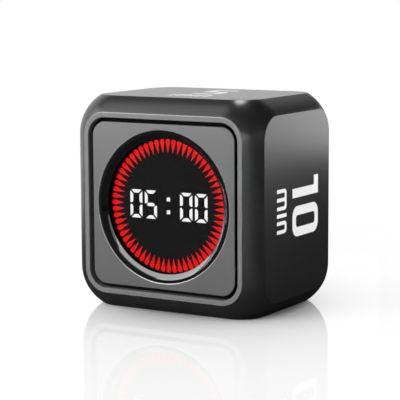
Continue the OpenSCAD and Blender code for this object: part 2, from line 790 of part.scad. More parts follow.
module battery_plug() color("#efece4") translate([0, 0, plug_z])
    bar(plug_w, plug_h, main_y - plug_d, main_y);

// Controls

module tact_switches() color("#2a2a2d") for (side = [-1, 1]) translate([side * button_x, 0, 0])
    difference() {
        bar(tact_side, tact_side, main_back, tact_top);
        rod(plunger_r + run_gap, tact_top - plunger_in - button_travel - run_gap, tact_top + eps);
    }

module plunger(side) color("#b23a2a") translate([side * button_x, 0, 0])
    rod(plunger_r, tact_top - plunger_in, flange_y);

module plus_plunger() plunger(-1);

module minus_plunger() plunger(1);

// Button cap: a flange under the cover and a round top with a rolled edge.
module button_cap(side) color("#2d2e31") translate([side * button_x, 0, 0]) turned() {
    square_y = control_y - button_edge;
    translate([0, flange_y]) square([button_flange_r, flange_t]);
    translate([0, flange_y]) square([button_r, square_y - flange_y]);
    translate([0, flange_y]) square([button_r - button_edge, control_y - flange_y]);
    intersection() {
        translate([button_r - button_edge, square_y]) circle(button_edge);
        translate([0, flange_y]) square([button_r, control_y - flange_y]);
    }
}

module plus_button() button_cap(-1);

module minus_button() button_cap(1);

module switch_can() color("silver") translate([0, 0, switch_z]) difference() {
    bar(can_len, can_w, main_back, can_top);
    bar(can_len - 2 * can_t, can_w - 2 * can_t, main_back - eps, can_top - can_t);
    bar(lever_len + 2 * switch_travel + 2 * run_gap, lever_w + 2 * run_gap, main_back, can_top + eps);
}

module switch_base() color("#7a4a26") translate([0, 0, switch_z])
    bar(can_len - 2 * can_t, can_w - 2 * can_t, main_back, main_back + switch_base_t);

module switch_slider() color("#1d1d1f") translate([0, 0, switch_z]) {
    block_top = can_top - can_t - block_gap;
    block_w = can_w - 2 * can_t - 2 * block_gap;
    bar(block_len, block_w, main_back + switch_base_t + lever_fit, block_top);
    bar(lever_len, lever_w, block_top - eps, flange_y + lever_grip);
}

// Knob: a flange that slides under the cover and a grooved top that shows in the slot.
module switch_knob() color("#2d2e31") translate([0, 0, switch_z]) difference() {
    union() {
        bar(2 * knob_flange_half, 2 * knob_flange_z, flange_y, flange_top);
        bar(knob_len, knob_w, flange_y, control_y);
    }
    bar(lever_len + 2 * lever_fit, lever_w + 2 * lever_fit,
        flange_y - eps, flange_y + lever_grip + lever_fit);
    for (i = [-1, 0, 1]) translate([i * knob_len / 4, control_y, 0])
        rotate([0, 0, 45]) cube([knob_groove * sqrt(2), knob_groove * sqrt(2), knob_w + 1], center = true);
}

module board_screws() color("silver") at_corners(board_screw_x, board_screw_x) translate([0, main_y, 0])
    screw(small_screw_r, small_screw_len, small_head_r, small_head_h, -1);

// Back

module rear_cover() color("#26272a") difference() {
    union() {
        difference() {
            rounded_block(edge_r, half, parting_y, back_y, -arc_y, arc_y);
            rounded_block(inner_r, inner_half, parting_y - eps, inner_back, -arc_y, arc_y);
        }
        cover_lip();
        at_corners(screw_x, screw_x) rod(boss_r, boss_top, inner_back + eps);
        at_corners(board_screw_x, board_screw_x) rod(post_r, main_back, inner_back + eps);
        for (side = [-1, 1]) translate([side * button_x, 0, 0]) button_guide();
        translate([0, 0, switch_z]) knob_rails();
    }
    slab(floor_y, back_y + eps) rounded_rect(2 * recess_half, 2 * recess_half, recess_r);
    at_corners(screw_x, screw_x) {
        rod(cover_screw_r + screw_clear, boss_top - eps, back_y + eps);
        rod(cover_head_r + screw_clear, head_y, back_y + eps);
    }
    at_corners(board_screw_x, board_screw_x)
        rod(small_screw_r + pilot_fit, main_back - eps, main_y + small_screw_len + pilot_end);
    for (side = [-1, 1]) translate([side * button_x, 0, 0])
        rod(button_r + run_gap, inner_back - eps, back_y + eps);
    translate([0, 0, switch_z]) bar(2 * slot_half, knob_w + 2 * run_gap, inner_back - eps, back_y + eps);
    translate([0, 0, -usb_z]) slab(inner_back - eps, back_y + eps)
        slot_outline(usb_w + 2 * usb_gap, usb_h + 2 * usb_gap);
    rod(sound_r, inner_back - eps, back_y + eps);
    for (turn = [0 : 60 : 300]) rotate([0, turn, 0]) translate([sound_pitch, 0, 0])
        rod(sound_r, inner_back - eps, back_y + eps);
}

// Lip that enters the housing all round, rooted in the rounded wall of the cover.
module cover_lip() intersection() {
    slab(parting_y - lip_h, parting_y + lip_t + wall / 2) difference() {
        body_section(inner_r - lip_fit, inner_half - lip_fit);
        body_section(inner_r - lip_fit - lip_t, inner_half - lip_fit - lip_t);
    }
    rounded_block(edge_r - wall / 2, half - wall / 2, parting_y - lip_h, back_y, -arc_y, arc_y);
}

// Collar round the flange of a button.
module button_guide() difference() {
    rod(button_flange_r + run_gap + guide_wall, inner_back - guide_wall_h, inner_back + eps);
    rod(button_flange_r + run_gap, inner_back - guide_wall_h - eps, inner_back);
}

// Two rails that keep the flange of the knob straight.
module knob_rails() for (side = [-1, 1])
    translate([0, 0, side * (knob_flange_z + run_gap + guide_wall / 2)])
        bar(2 * knob_flange_half, guide_wall, inner_back - guide_wall_h, inner_back + eps);

module cover_screws() color("#3c3d40") at_corners(screw_x, screw_x) translate([0, head_y, 0])
    screw(cover_screw_r, cover_screw_len, cover_head_r, cover_head_h, 1);

on_base() main_housing();
on_base() front_panel();
on_base() window_ring();
on_base() lens_seal();
on_base() display_lens();
on_base() light_mask();
on_base() mark_guides();
on_base() digit_guides();
on_base() display_board();
on_base() display_leds();
on_base() led_driver();
on_base() display_screws();
on_base() display_connector();
on_base() ribbon_cable();
on_base() main_connector();
on_base() main_board();
on_base() microcontroller();
on_base() gravity_sensor();
on_base() timing_crystal();
on_base() charge_chip();
on_base() usb_socket();
on_base() usb_tongue();
on_base() buzzer();
on_base() buzzer_foam();
on_base() battery();
on_base() battery_pad();
on_base() battery_leads();
on_base() battery_plug();
on_base() tact_switches();
on_base() plus_plunger();
on_base() minus_plunger();
on_base() plus_button();
on_base() minus_button();
on_base() switch_can();
on_base() switch_base();
on_base() switch_slider();
on_base() switch_knob();
on_base() board_screws();
on_base() rear_cover();
on_base() cover_screws();
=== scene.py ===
"""Looks of the flip timer: moulded shells, lit display, prints, finishes, studio and camera."""

import logging
import math
from collections.abc import Callable, Iterable, Sequence
from dataclasses import dataclass
from enum import Enum

import bmesh
import bpy
from mathutils import Matrix, Vector


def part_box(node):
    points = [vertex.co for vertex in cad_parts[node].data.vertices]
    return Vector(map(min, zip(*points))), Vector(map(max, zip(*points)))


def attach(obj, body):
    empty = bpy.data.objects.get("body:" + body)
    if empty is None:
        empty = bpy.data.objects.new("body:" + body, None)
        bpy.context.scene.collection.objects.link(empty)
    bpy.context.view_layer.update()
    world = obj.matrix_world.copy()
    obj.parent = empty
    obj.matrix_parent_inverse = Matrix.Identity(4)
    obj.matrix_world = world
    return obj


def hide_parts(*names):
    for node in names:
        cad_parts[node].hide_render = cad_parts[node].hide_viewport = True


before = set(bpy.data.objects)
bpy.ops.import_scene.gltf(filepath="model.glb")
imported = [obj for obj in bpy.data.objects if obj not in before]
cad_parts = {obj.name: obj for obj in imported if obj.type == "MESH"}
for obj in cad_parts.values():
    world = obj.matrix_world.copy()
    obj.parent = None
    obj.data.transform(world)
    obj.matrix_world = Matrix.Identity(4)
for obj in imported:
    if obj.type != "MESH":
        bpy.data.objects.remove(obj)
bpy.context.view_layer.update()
LOG = logging.getLogger("flip_timer")
MM = 0.001
QUARTER = math.pi / 2
# Millimetres within which points count as on a plane, and within which they are welded.
NEAR = 0.01
WELD = 0.001
Loop = list[bmesh.types.BMVert]
Points = list[Vector]
Outline = list[tuple[float, float]]
Triple = tuple[float, float, float]
Test = Callable[[Vector], bool]


class Body(Enum):
    """CAD bodies that the pieces ride on."""

    TIMER = "timer_body"
    PLUS = "plus_key"
    MINUS = "minus_key"
    SLIDER = "sound_slider"


@dataclass(frozen=True)
class Sizes:
    """Sizes of the CAD model in millimetres, round the middle of the body with the front towards -Y."""

    half: float = 32.0
    depth_half: float = 25.0
    edge_r: float = 13.9
    flat_r: float = 7.2
    wall: float = 2.2
    rim_w: float = 1.6
    groove_w: float = 1.2
    panel_recess: float = 0.6
    panel_t: float = 2.0
    panel_margin: float = 1.9
    ring_fit: float = 0.05
    ring_lip_w: float = 0.25
    ring_proud: float = 0.1
    ring_bevel_w: float = 0.6
    ring_bevel_d: float = 0.75
    ring_dish_w: float = 1.6
    ring_dish_d: float = 0.7
    seal_t: float = 0.2
    lens_t: float = 1.2
    lens_overlap: float = 1.2
    lens_fit: float = 0.1
    mark_count: int = 60
    mark_gap: float = 0.53
    mark_margin: float = 0.25
    mark_share: float = 0.2067
    digit_margin: float = 1.65
    digit_share: float = 0.6035
    digit_gap_share: float = 0.1
    colon_gap_share: float = 0.4706
    seg_share: float = 0.1235
    seg_gap_share: float = 0.042
    colon_dot_share: float = 0.1412
    colon_rise_share: float = 0.2235
    guide_t: float = 2.8
    cover_t: float = 2.4
    back_recess: float = 0.8
    recess_margin: float = 9.2
    recess_r: float = 4.0
    screw_inset: float = 4.25
    boss_r: float = 3.0
    cover_boss_h: float = 2.8
    head_r: float = 2.1
    head_h: float = 1.6
    head_sink: float = 0.4
    screw_r: float = 1.15
    screw_len: float = 10.0
    screw_clear: float = 0.25
    sound_r: float = 0.75
    sound_pitch: float = 2.4
    button_r: float = 4.0
    button_x: float = 13.0
    run_gap: float = 0.2
    control_z: float = 13.0
    slot_half: float = 4.9
    slot_r: float = 0.4
    knob_w: float = 3.2
    usb_w: float = 8.94
    usb_h: float = 3.26
    usb_r: float = 1.82
    usb_gap: float = 0.2

    # Body: centres of the edge arcs from a flat, across and along, half a flat, and the seam.
    arc_in: float = math.sqrt(edge_r**2 - flat_r**2)
    arc_x: float = half - arc_in
    arc_y: float = depth_half - arc_in
    flat_half: float = arc_x + flat_r
    parting_y: float = arc_y + flat_r
    # Front: planes of the panel, of the ledge under it and of the light mask.
    panel_y: float = -depth_half + panel_recess
    ledge_y: float = panel_y + panel_t
    mask_y: float = ledge_y + lens_t + lens_fit
    # Front: corner radii of pocket and panel, then radii of the window, the ring and the lens opening.
    pocket_r: float = flat_r - rim_w
    panel_r: float = pocket_r - groove_w
    window_r: float = arc_x + panel_r - panel_margin
    ring_r: float = window_r - ring_fit
    ring_inner_r: float = ring_r - ring_lip_w - ring_bevel_w - ring_dish_w
    opening_r: float = ring_inner_r + lens_overlap + lens_fit
    # Back: inside, floor of the recess, places and head planes of the screws, and where the bosses meet.
    inner_back: float = depth_half - cover_t
    floor_y: float = depth_half - back_recess
    screw_x: float = flat_half - screw_inset
    head_y: float = depth_half - head_sink - head_h
    boss_top: float = inner_back - cover_boss_h
    # Display: ring of marks, then the circle that holds the digits, and their size.
    mark_outer_r: float = ring_inner_r - mark_margin
    mark_sine: float = math.sin(math.pi / mark_count)
    mark_head_r: float = (mark_outer_r * mark_sine - mark_gap / 2) / (1 + mark_sine)
    mark_len: float = mark_outer_r * mark_share
    digit_reach: float = mark_outer_r - mark_len - digit_margin
    digit_h: float = digit_reach * digit_share
    line_half: float = math.sqrt(digit_reach**2 - digit_h**2 / 4)
    digit_w: float = (line_half - digit_h * (colon_gap_share + digit_gap_share)) / 2


SIZE = Sizes()


def shares(steps: int) -> list[float]:
    """Even shares from 0 to 1."""
    return [step / steps for step in range(steps + 1)]


def circle(r: float, y: float, count: int = 64, x: float = 0.0, z: float = 0.0) -> Points:
    """Points of a circle across Y, round an axis at x and z."""
    turns = (2 * math.pi * i / count for i in range(count))
    return [Vector((x + r * math.cos(t), y, z + r * math.sin(t))) for t in turns]


def rounded(corners: Sequence[Triple], steps: int = 6) -> Outline:
    """Outline of a polygon whose corners are rounded.

    Args:
        corners: Across, up and radius of each corner, in order.
        steps: Segments of each rounded corner.

    Returns:
        Points of the outline.
    """
    points = []
    for index, (across, up, r) in enumerate(corners):
        if r <= 0:
            points.append((across, up))
            continue
        here = Vector((across, up))
        to_before = (Vector(corners[index - 1][:2]) - here).normalized()
        to_after = (Vector(corners[(index + 1) % len(corners)][:2]) - here).normalized()
        opening = to_before.angle(to_after) / 2
        centre = here + (to_before + to_after).normalized() * (r / math.sin(opening))
        start, end = (here + way * (r / math.tan(opening)) - centre for way in (to_before, to_after))
        sweep = start.angle_signed(end)
        for step in range(steps + 1):
            turned = start.copy()
            turned.rotate(Matrix.Rotation(-sweep * step / steps, 2))
            points.append(tuple(centre + turned))
    return points


def rectangle(x0: float, y0: float, x1: float, y1: float, r: float = 0.0, steps: int = 6) -> Outline:
    """Outline of a rectangle with rounded corners."""
    return rounded([(x0, y0, r), (x1, y0, r), (x1, y1, r), (x0, y1, r)], steps)


def cross(long: float, short: float) -> Outline:
    """Outline of a cross, from the half length and the half width of its arms."""
    points: Outline = []
    arm = [(-short, -long), (short, -long), (short, -short)]
    for _ in range(4):
        points += arm
        arm = [(-up, across) for across, up in arm]
    return points


def at_depth(outline: Iterable[tuple[float, float]], y: float, x: float = 0.0, z: float = 0.0) -> Points:
    """An outline of across and up, laid in the plane at y and moved by x and z."""
    return [Vector((across + x, y, up + z)) for across, up in outline]


def corner_places(reach: float) -> Outline:
    """Places at the four corners of a square."""
    return [(x, z) for x in (-reach, reach) for z in (-reach, reach)]


class Shape:
    """A mesh under construction, in millimetres round the middle of the body."""

    def __init__(self) -> None:
        """Start with an empty mesh."""
        self.bm = bmesh.new()

    def loop(self, points: Iterable[Vector]) -> Loop:
        """Add the points of a loop as vertices."""
        return [self.bm.verts.new(point) for point in points]

    def loft(self, loops: Sequence[Loop], closed: bool = False, round_loops: bool = True) -> None:
        """Join loops with quads.

        Args:
            loops: Loops with the same number of vertices.
            closed: Whether the last loop is joined to the first.
            round_loops: Whether each loop runs on from its last vertex to its first.
        """
        pairs = list(zip(loops, loops[1:], strict=False))
        if closed:
            pairs.append((loops[-1], loops[0]))
        for low, high in pairs:
            for index in range(len(low) if round_loops else len(low) - 1):
                after = (index + 1) % len(low)
                self.bm.faces.new((low[index], low[after], high[after], high[index]))

    def well(self, rings: Iterable[Points]) -> tuple[Loop, Loop]:
        """Loft rings of points and give back the first and the last loop."""
        loops = [self.loop(ring) for ring in rings]
        self.loft(loops)
        return loops[0], loops[-1]

    def lathe(self, profile: Outline, count: int, x: float = 0.0, z: float = 0.0) -> tuple[Loop, Loop]:
        """Turn a profile of radius and depth round an axis along Y and give back its end loops."""
        return self.well(circle(r, y, count, x, z) for r, y in profile)

    def cap(self, loop: Loop) -> None:
        """Close a loop with one face."""
        self.bm.faces.new(loop)

    def fill(self, loops: Iterable[Loop]) -> None:
        """Fill a flat outline, of which every further loop is a hole or an island."""
        edges = []
        for loop in loops:
            for one, two in zip(loop, loop[1:] + loop[:1], strict=True):
                edges.append(self.bm.edges.get((one, two)) or self.bm.edges.new((one, two)))
        bmesh.ops.triangle_fill(self.bm, use_beauty=True, edges=edges)

    def prism(self, outlines: Iterable[Outline], y0: float, y1: float) -> None:
        """Add a closed prism between two planes, whose further outlines are holes."""
        walls = [self.well([at_depth(outline, y) for y in (y0, y1)]) for outline in outlines]
        for loops in zip(*walls, strict=True):
            self.fill(loops)

    def join(self, other: "Shape") -> None:
        """Take over the mesh of another shape."""
        mesh = bpy.data.meshes.new("joined")
        other.bm.to_mesh(mesh)
        other.bm.free()
        self.bm.from_mesh(mesh)
        bpy.data.meshes.remove(mesh)

    def open_edges(self, test: Test) -> list[bmesh.types.BMEdge]:
        """Open edges whose vertices pass a test."""
        return [e for e in self.bm.edges if e.is_boundary and all(test(v.co) for v in e.verts)]

    def rim(self, test: Test) -> Loop:
        """The open loop whose vertices all pass a test, in order."""
        edges = self.open_edges(test)
        links: dict[bmesh.types.BMVert, Loop] = {}
        for edge in edges:
            one, two = edge.verts
            links.setdefault(one, []).append(two)
            links.setdefault(two, []).append(one)
        start = edges[0].verts[0]
        loop = [start]
        while True:
            ahead = [v for v in links[loop[-1]] if v not in loop[-2:]]
            if not ahead or ahead[0] is start:
                return loop
            loop.append(ahead[0])

    def bridge(self, test: Test) -> None:
        """Close the flat gap between the two open loops whose vertices pass a test."""
        bmesh.ops.triangle_fill(self.bm, use_beauty=True, edges=self.open_edges(test))

    def paint(self, test: Test, index: int) -> None:
        """Give the faces whose corners all pass a test another of the piece's finishes."""
        for face in self.bm.faces:
            if all(test(vert.co) for vert in face.verts):
                face.material_index = index

    def piece(
        self, name: str, *materials: bpy.types.Material, smooth: float = 40.0, place: Matrix | None = None
    ) -> bpy.types.Object:
        """Turn the shape into a finished object.

        Args:
            name: Name of the piece.
            materials: Its finishes, the main one first.
            smooth: Edges sharper than this, in degrees, stay sharp.
            place: Moves the shape, in millimetres, before it is scaled.

        Returns:
            The object, at the origin and unscaled.
        """
        if place:
            self.bm.transform(place)
        bmesh.ops.recalc_face_normals(self.bm, faces=self.bm.faces)
        for face in self.bm.faces:
            face.smooth = True
        for edge in self.bm.edges:
            edge.smooth = edge.is_manifold and edge.calc_face_angle(0.0) < math.radians(smooth)
        mesh = bpy.data.meshes.new(name)
        self.bm.to_mesh(mesh)
        self.bm.free()
        mesh.transform(Matrix.Scale(MM, 4) @ Matrix.Translation((0, 0, SIZE.half)))
        for material in materials:
            mesh.materials.append(material)
        made = add_object(name, mesh)
        weighted = made.modifiers.new("even_normals", "WEIGHTED_NORMAL")
        weighted.keep_sharp = True
        settle(made)
        return made


def add_object(name: str, data: bpy.types.ID) -> bpy.types.Object:
    """Add an object to the scene."""
    made = bpy.data.objects.new(name, data)
    bpy.context.scene.collection.objects.link(made)
    return made


def settle(made: bpy.types.Object) -> None:
    """Replace an object's mesh by its evaluated mesh and drop its modifiers."""
    graph = bpy.context.evaluated_depsgraph_get()
    mesh = bpy.data.meshes.new_from_object(
        made.evaluated_get(graph), preserve_all_data_layers=True, depsgraph=graph
    )
    before = made.data
    name = before.name
    made.modifiers.clear()
    made.data = mesh
    bpy.data.meshes.remove(before)
    mesh.name = name


def hand_over(piece: bpy.types.Object, body: Body, slot: str = "", *nodes: str) -> None:
    """Tell the frame which body a piece rides on and hide the CAD nodes it stands for."""
    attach(piece, body.value)
    if nodes:
        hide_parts(*nodes)


@dataclass(frozen=True)
class Block:
    """A rounded block whose edge arcs are cut by flats, built as one welded skin."""

    r: float
    half: float
    front: float
    back: float
    front_arc: float
    back_arc: float
    bevel: float = 0.0
    arc_steps: int = 16
    strip_steps: int = 5
    length_steps: int = 12

    def _limits(self, side: int) -> list[float]:
        """Largest share of the arc radius that each axis reaches at the front (-1) or back (1)."""
        across = (self.half - SIZE.arc_x) / self.r
        along = (self.back - self.back_arc if side > 0 else self.front_arc - self.front) / self.r
        return [across, along, across]

    @staticmethod
    def _end(limits: Sequence[float], one: int, two: int, share: float = 0.0) -> Vector:
        """Direction on the edge of one axis' flat, turned by a share from the second axis to the third."""
        way = Vector((0, 0, 0))
        reach = math.sqrt(1 - limits[one] ** 2)
        way[one] = limits[one]
        way[two] = reach * math.cos(share * QUARTER)
        way[3 - one - two] = reach * math.sin(share * QUARTER)
        return way

    def _middle(self, limits: Sequence[float], one: int, two: int) -> Vector:
        """Direction in the middle of the strip between two flats."""
        return (self._end(limits, one, two) + self._end(limits, two, one)).normalized()

    def _point(self, signs: Sequence[int], way: Vector) -> Vector:
        """Point of the ball at a corner, in a direction given without signs."""
        depth = self.back_arc if signs[1] > 0 else self.front_arc
        centre = Vector((signs[0] * SIZE.arc_x, depth, signs[2] * SIZE.arc_x))
        return centre + self.r * Vector([s * w for s, w in zip(signs, way, strict=True)])

    def _fan(self, start: Vector, end: Vector) -> Points:
        """Directions from one to another in even steps."""
        return [start.lerp(end, share).normalized() for share in shares(self.strip_steps)]

    def _corner(self, shape: Shape, signs: Sequence[int]) -> None:
        """Add the three patches of a corner."""
        limits = self._limits(signs[1])
        pairs = ((0, 1), (1, 2), (0, 2))
        top = sum((self._middle(limits, *pair) for pair in pairs), Vector((0, 0, 0))).normalized()
        for axis in range(3):
            one, two = (axis + 1) % 3, (axis + 2) % 3
            near, far = self._middle(limits, axis, one), self._middle(limits, axis, two)
            rows = []
            for share in shares(self.arc_steps):
                inner = near.lerp(top, 2 * share) if share < 0.5 else top.lerp(far, 2 * share - 1)
                ways = self._fan(self._end(limits, axis, one, share), inner.normalized())
                rows.append(shape.loop(self._point(signs, way) for way in ways))
            shape.loft(rows, round_loops=False)

    def _strip(self, shape: Shape, along: int, signs: Sequence[int]) -> None:
        """Add the strip along one axis, between the flats of the two other axes."""
        one, two = (along + 1) % 3, (along + 2) % 3
        limits = self._limits(signs[1])
        middle = self._middle(limits, one, two)
        ways = self._fan(self._end(limits, one, two), middle)
        ways += self._fan(self._end(limits, two, one), middle)[-2::-1]
        low, high = list(signs), list(signs)
        low[along], high[along] = -1, 1
        rows = []
        for share in shares(self.length_steps):
            rows.append(shape.loop(self._point(low, w).lerp(self._point(high, w), share) for w in ways))
        shape.loft(rows, round_loops=False)

    def skin(self) -> Shape:
        """Build the whole skin, with the edges of the flats bevelled.

        Returns:
            A closed shape whose flats are single faces.
        """
        shape = Shape()
        ends = (-1, 1)
        for one in ends:
            for two in ends:
                for depth in ends:
                    self._corner(shape, (one, depth, two))
                self._strip(shape, 0, (1, one, two))
                self._strip(shape, 1, (one, 1, two))
                self._strip(shape, 2, (one, two, 1))
        bmesh.ops.remove_doubles(shape.bm, verts=shape.bm.verts, dist=2 * WELD)
        flats = bmesh.ops.edgeloop_fill(shape.bm, edges=shape.open_edges(lambda point: True))["faces"]
        bmesh.ops.recalc_face_normals(shape.bm, faces=shape.bm.faces)
        if self.bevel:
            edges = list({edge for face in flats for edge in face.edges})
            bmesh.ops.bevel(
                shape.bm, geom=edges, offset=self.bevel, segments=3, profile=0.5, affect="EDGES"
            )
        return shape


def keep_part(shape: Shape, y: float, front: bool) -> None:
    """Cut a shape at a plane across Y and keep the part in front of it or behind it."""
    geom = [*shape.bm.verts, *shape.bm.edges, *shape.bm.faces]
    bmesh.ops.bisect_plane(
        shape.bm, geom=geom, dist=WELD, plane_co=(0, y, 0), plane_no=(0, 1, 0),
        clear_outer=front, clear_inner=not front,
    )


def near_plane(y: float) -> Test:
    """Test for points that lie across Y at a depth."""
    return lambda point: abs(point.y - y) < NEAR


def open_flat(shape: Shape, y: float) -> None:
    """Take out the flat that lies across Y at a depth."""
    test = near_plane(y)
    flats = [f for f in shape.bm.faces if len(f.verts) > 8 and all(test(v.co) for v in f.verts)]
    bmesh.ops.delete(shape.bm, geom=flats, context="FACES_ONLY")


def square_reach(point: Vector) -> float:
    """Corner radius of the rounded square, round the arc centres of the body, that a point lies on."""
    return math.hypot(max(abs(point.x) - SIZE.arc_x, 0.0), max(abs(point.z) - SIZE.arc_x, 0.0))


def inside(loop: Points, r: float, y: float, core: float = SIZE.arc_x) -> Points:
    """A rounded square or a circle with a point for each point of another one.

    Args:
        loop: Points of the other one.
        r: Radius of the corners or of the circle.
        y: Plane of the new points.
        core: Half the side of the square that the corners' centres make, or 0 for a circle.

    Returns:
        The points in the order of the loop.
    """
    points = []
    for old in loop:
        middle = Vector((max(-core, min(core, old.x)), max(-core, min(core, old.z))))
        way = (Vector((old.x, old.z)) - middle).normalized()
        points.append(Vector((middle.x + r * way.x, y, middle.y + r * way.y)))
    return points


def square_loop(r: float, y: float, arc_steps: int = 20, side_steps: int = 20) -> Points:
    """A rounded square round the arc centres of the body, with points along its sides too."""
    points: Points = []
    core = SIZE.arc_x * math.sqrt(2)
    for quarter in range(4):
        turn = quarter * QUARTER
        middle = Vector((core * math.cos(turn + QUARTER / 2), core * math.sin(turn + QUARTER / 2)))
        for share in shares(arc_steps):
            angle = turn + share * QUARTER
            points.append(Vector((middle.x + r * math.cos(angle), y, middle.y + r * math.sin(angle))))
        start = points[-1]
        across = Vector((-math.sin(turn + QUARTER), 0, math.cos(turn + QUARTER)))
        for share in shares(side_steps)[1:-1]:
            points.append(start + across * (2 * SIZE.arc_x * share))
    return points


def rolled(r: float, y: float, size: float, steps: int = 3) -> Outline:
    """Rounding of an edge at radius r and plane y, as radius and depth.

    Args:
        r: Radius of the wall that the rounding ends on.
        y: Plane that the rounding starts from.
        size: Size of the rounding, negative where the plane lies inside the wall.
        steps: Segments of the rounding.

    Returns:
        The points from the plane to the wall.
    """
    turns = [share * QUARTER for share in shares(steps)]
    return [(r + size * (1 - math.sin(t)), y + abs(size) * (1 - math.cos(t))) for t in turns]


class Wire:
    """One output of a node tree, with arithmetic that adds the nodes for it."""

    def __init__(self, tree: "Tree", socket: bpy.types.NodeSocket) -> None:
        """Keep the tree and the socket."""
        self.tree = tree
        self.socket = socket

    def _math(self, operation: str, other: "Wire | float") -> "Wire":
        """Add a math node on this wire and another value."""
        return self.tree.wire("ShaderNodeMath", 0, {"operation": operation}, {0: self, 1: other})

    def __mul__(self, other: "Wire | float") -> "Wire":
        """Product."""
        return self._math("MULTIPLY", other)

    def __truediv__(self, other: "Wire | float") -> "Wire":
        """Quotient."""
        return self._math("DIVIDE", other)

    def power(self, exponent: float) -> "Wire":
        """The wire raised to a power."""
        return self._math("POWER", exponent)

    def over(self, limit: float) -> "Wire":
        """1 where the wire is greater than a limit, else 0."""
        return self._math("GREATER_THAN", limit)

    def most(self, other: "Wire | float") -> "Wire":
        """Greater of two values."""
        return self._math("MAXIMUM", other)

    def span(self, low: float, high: float, to_low: float = 0.0, to_high: float = 1.0) -> "Wire":
        """Map a range to another one, smoothly and clamped."""
        inputs = {"Value": self, "From Min": low, "From Max": high, "To Min": to_low, "To Max": to_high}
        return self.tree.wire("ShaderNodeMapRange", "Result", {"interpolation_type": "SMOOTHSTEP"}, inputs)


class Tree:
    """A node tree, filled from empty."""

    def __init__(self, tree: bpy.types.NodeTree, output: str) -> None:
        """Clear the tree and keep the type of its output node."""
        self.tree = tree
        self.output = output
        self.tree.nodes.clear()

    @classmethod
    def of(cls, owner: bpy.types.Material | bpy.types.World) -> "Tree":
        """The tree of a material or the world."""
        owner.use_nodes = True
        kind = "World" if isinstance(owner, bpy.types.World) else "Material"
        return cls(owner.node_tree, f"ShaderNodeOutput{kind}")

    def node(self, kind: str, settings: dict | None = None, inputs: dict | None = None) -> bpy.types.Node:
        """Add a node.

        Args:
            kind: Node type.
            settings: Attributes to set.
            inputs: Values or wires by name or index of the input.

        Returns:
            The node.
        """
        made = self.tree.nodes.new(kind)
        for name, value in (settings or {}).items():
            setattr(made, name, value)
        for key, value in (inputs or {}).items():
            if isinstance(value, Wire):
                self.tree.links.new(value.socket, made.inputs[key])
            else:
                made.inputs[key].default_value = value
        return made

    def wire(
        self, kind: str, output: str | int = 0, settings: dict | None = None, inputs: dict | None = None
    ) -> Wire:
        """Add a node and give one of its outputs."""
        return Wire(self, self.node(kind, settings, inputs).outputs[output])

    def mix(self, share: Wire | float, one: Wire | Triple, two: Wire | Triple) -> Wire:
        """Mix two colours."""
        ends = [(*c, 1.0) if isinstance(c, tuple) else c for c in (one, two)]
        inputs = {0: share, 6: ends[0], 7: ends[1]}
        return self.wire("ShaderNodeMix", 2, {"data_type": "RGBA"}, inputs)

    def blend(self, share: Wire, one: Wire, two: Wire) -> Wire:
        """Mix two shaders."""
        return self.wire("ShaderNodeMixShader", inputs={0: share, 1: one, 2: two})

    def place(self) -> Wire:
        """Object coordinates in metres."""
        return self.wire("ShaderNodeTexCoord", "Object")

    def noise(self, size: float, detail: float = 2.0, where: Wire | None = None) -> Wire:
        """Noise whose features measure about size millimetres."""
        inputs = {"Vector": where or self.place(), "Scale": 1 / (size * MM), "Detail": detail}
        return self.wire("ShaderNodeTexNoise", "Fac", inputs=inputs)

    def cells(self, scale: float) -> Wire:
        """Distance from the middles of cells, of which scale stand on a metre."""
        inputs = {"Vector": self.place(), "Scale": scale}
        return self.wire("ShaderNodeTexVoronoi", "Distance", inputs=inputs)

    def bump(self, height: Wire, depth: float) -> Wire:
        """Bump of a depth in millimetres."""
        return self.wire("ShaderNodeBump", "Normal", inputs={"Height": height, "Distance": depth * MM})

    def surface(self, **inputs: object) -> Wire:
        """Principled shader, whose inputs are named with underscores for spaces."""
        named = {key.replace("_", " "): value for key, value in inputs.items()}
        return self.wire("ShaderNodeBsdfPrincipled", "BSDF", inputs=named)

    def close(self, result: Wire, socket: str = "Surface") -> None:
        """Send a result to the output node."""
        self.node(self.output, inputs={socket: result})


class Texture(Enum):
    """Kinds of procedural detail."""

    GRAIN = "even grain, from fine texture to faint waviness"
    BRUSHED = "fine parallel scratches"
    FOAM = "open pores"
    BOARD = "solder mask over tracks"
    FOIL = "creased foil"
    LEAD = "two insulated wires"


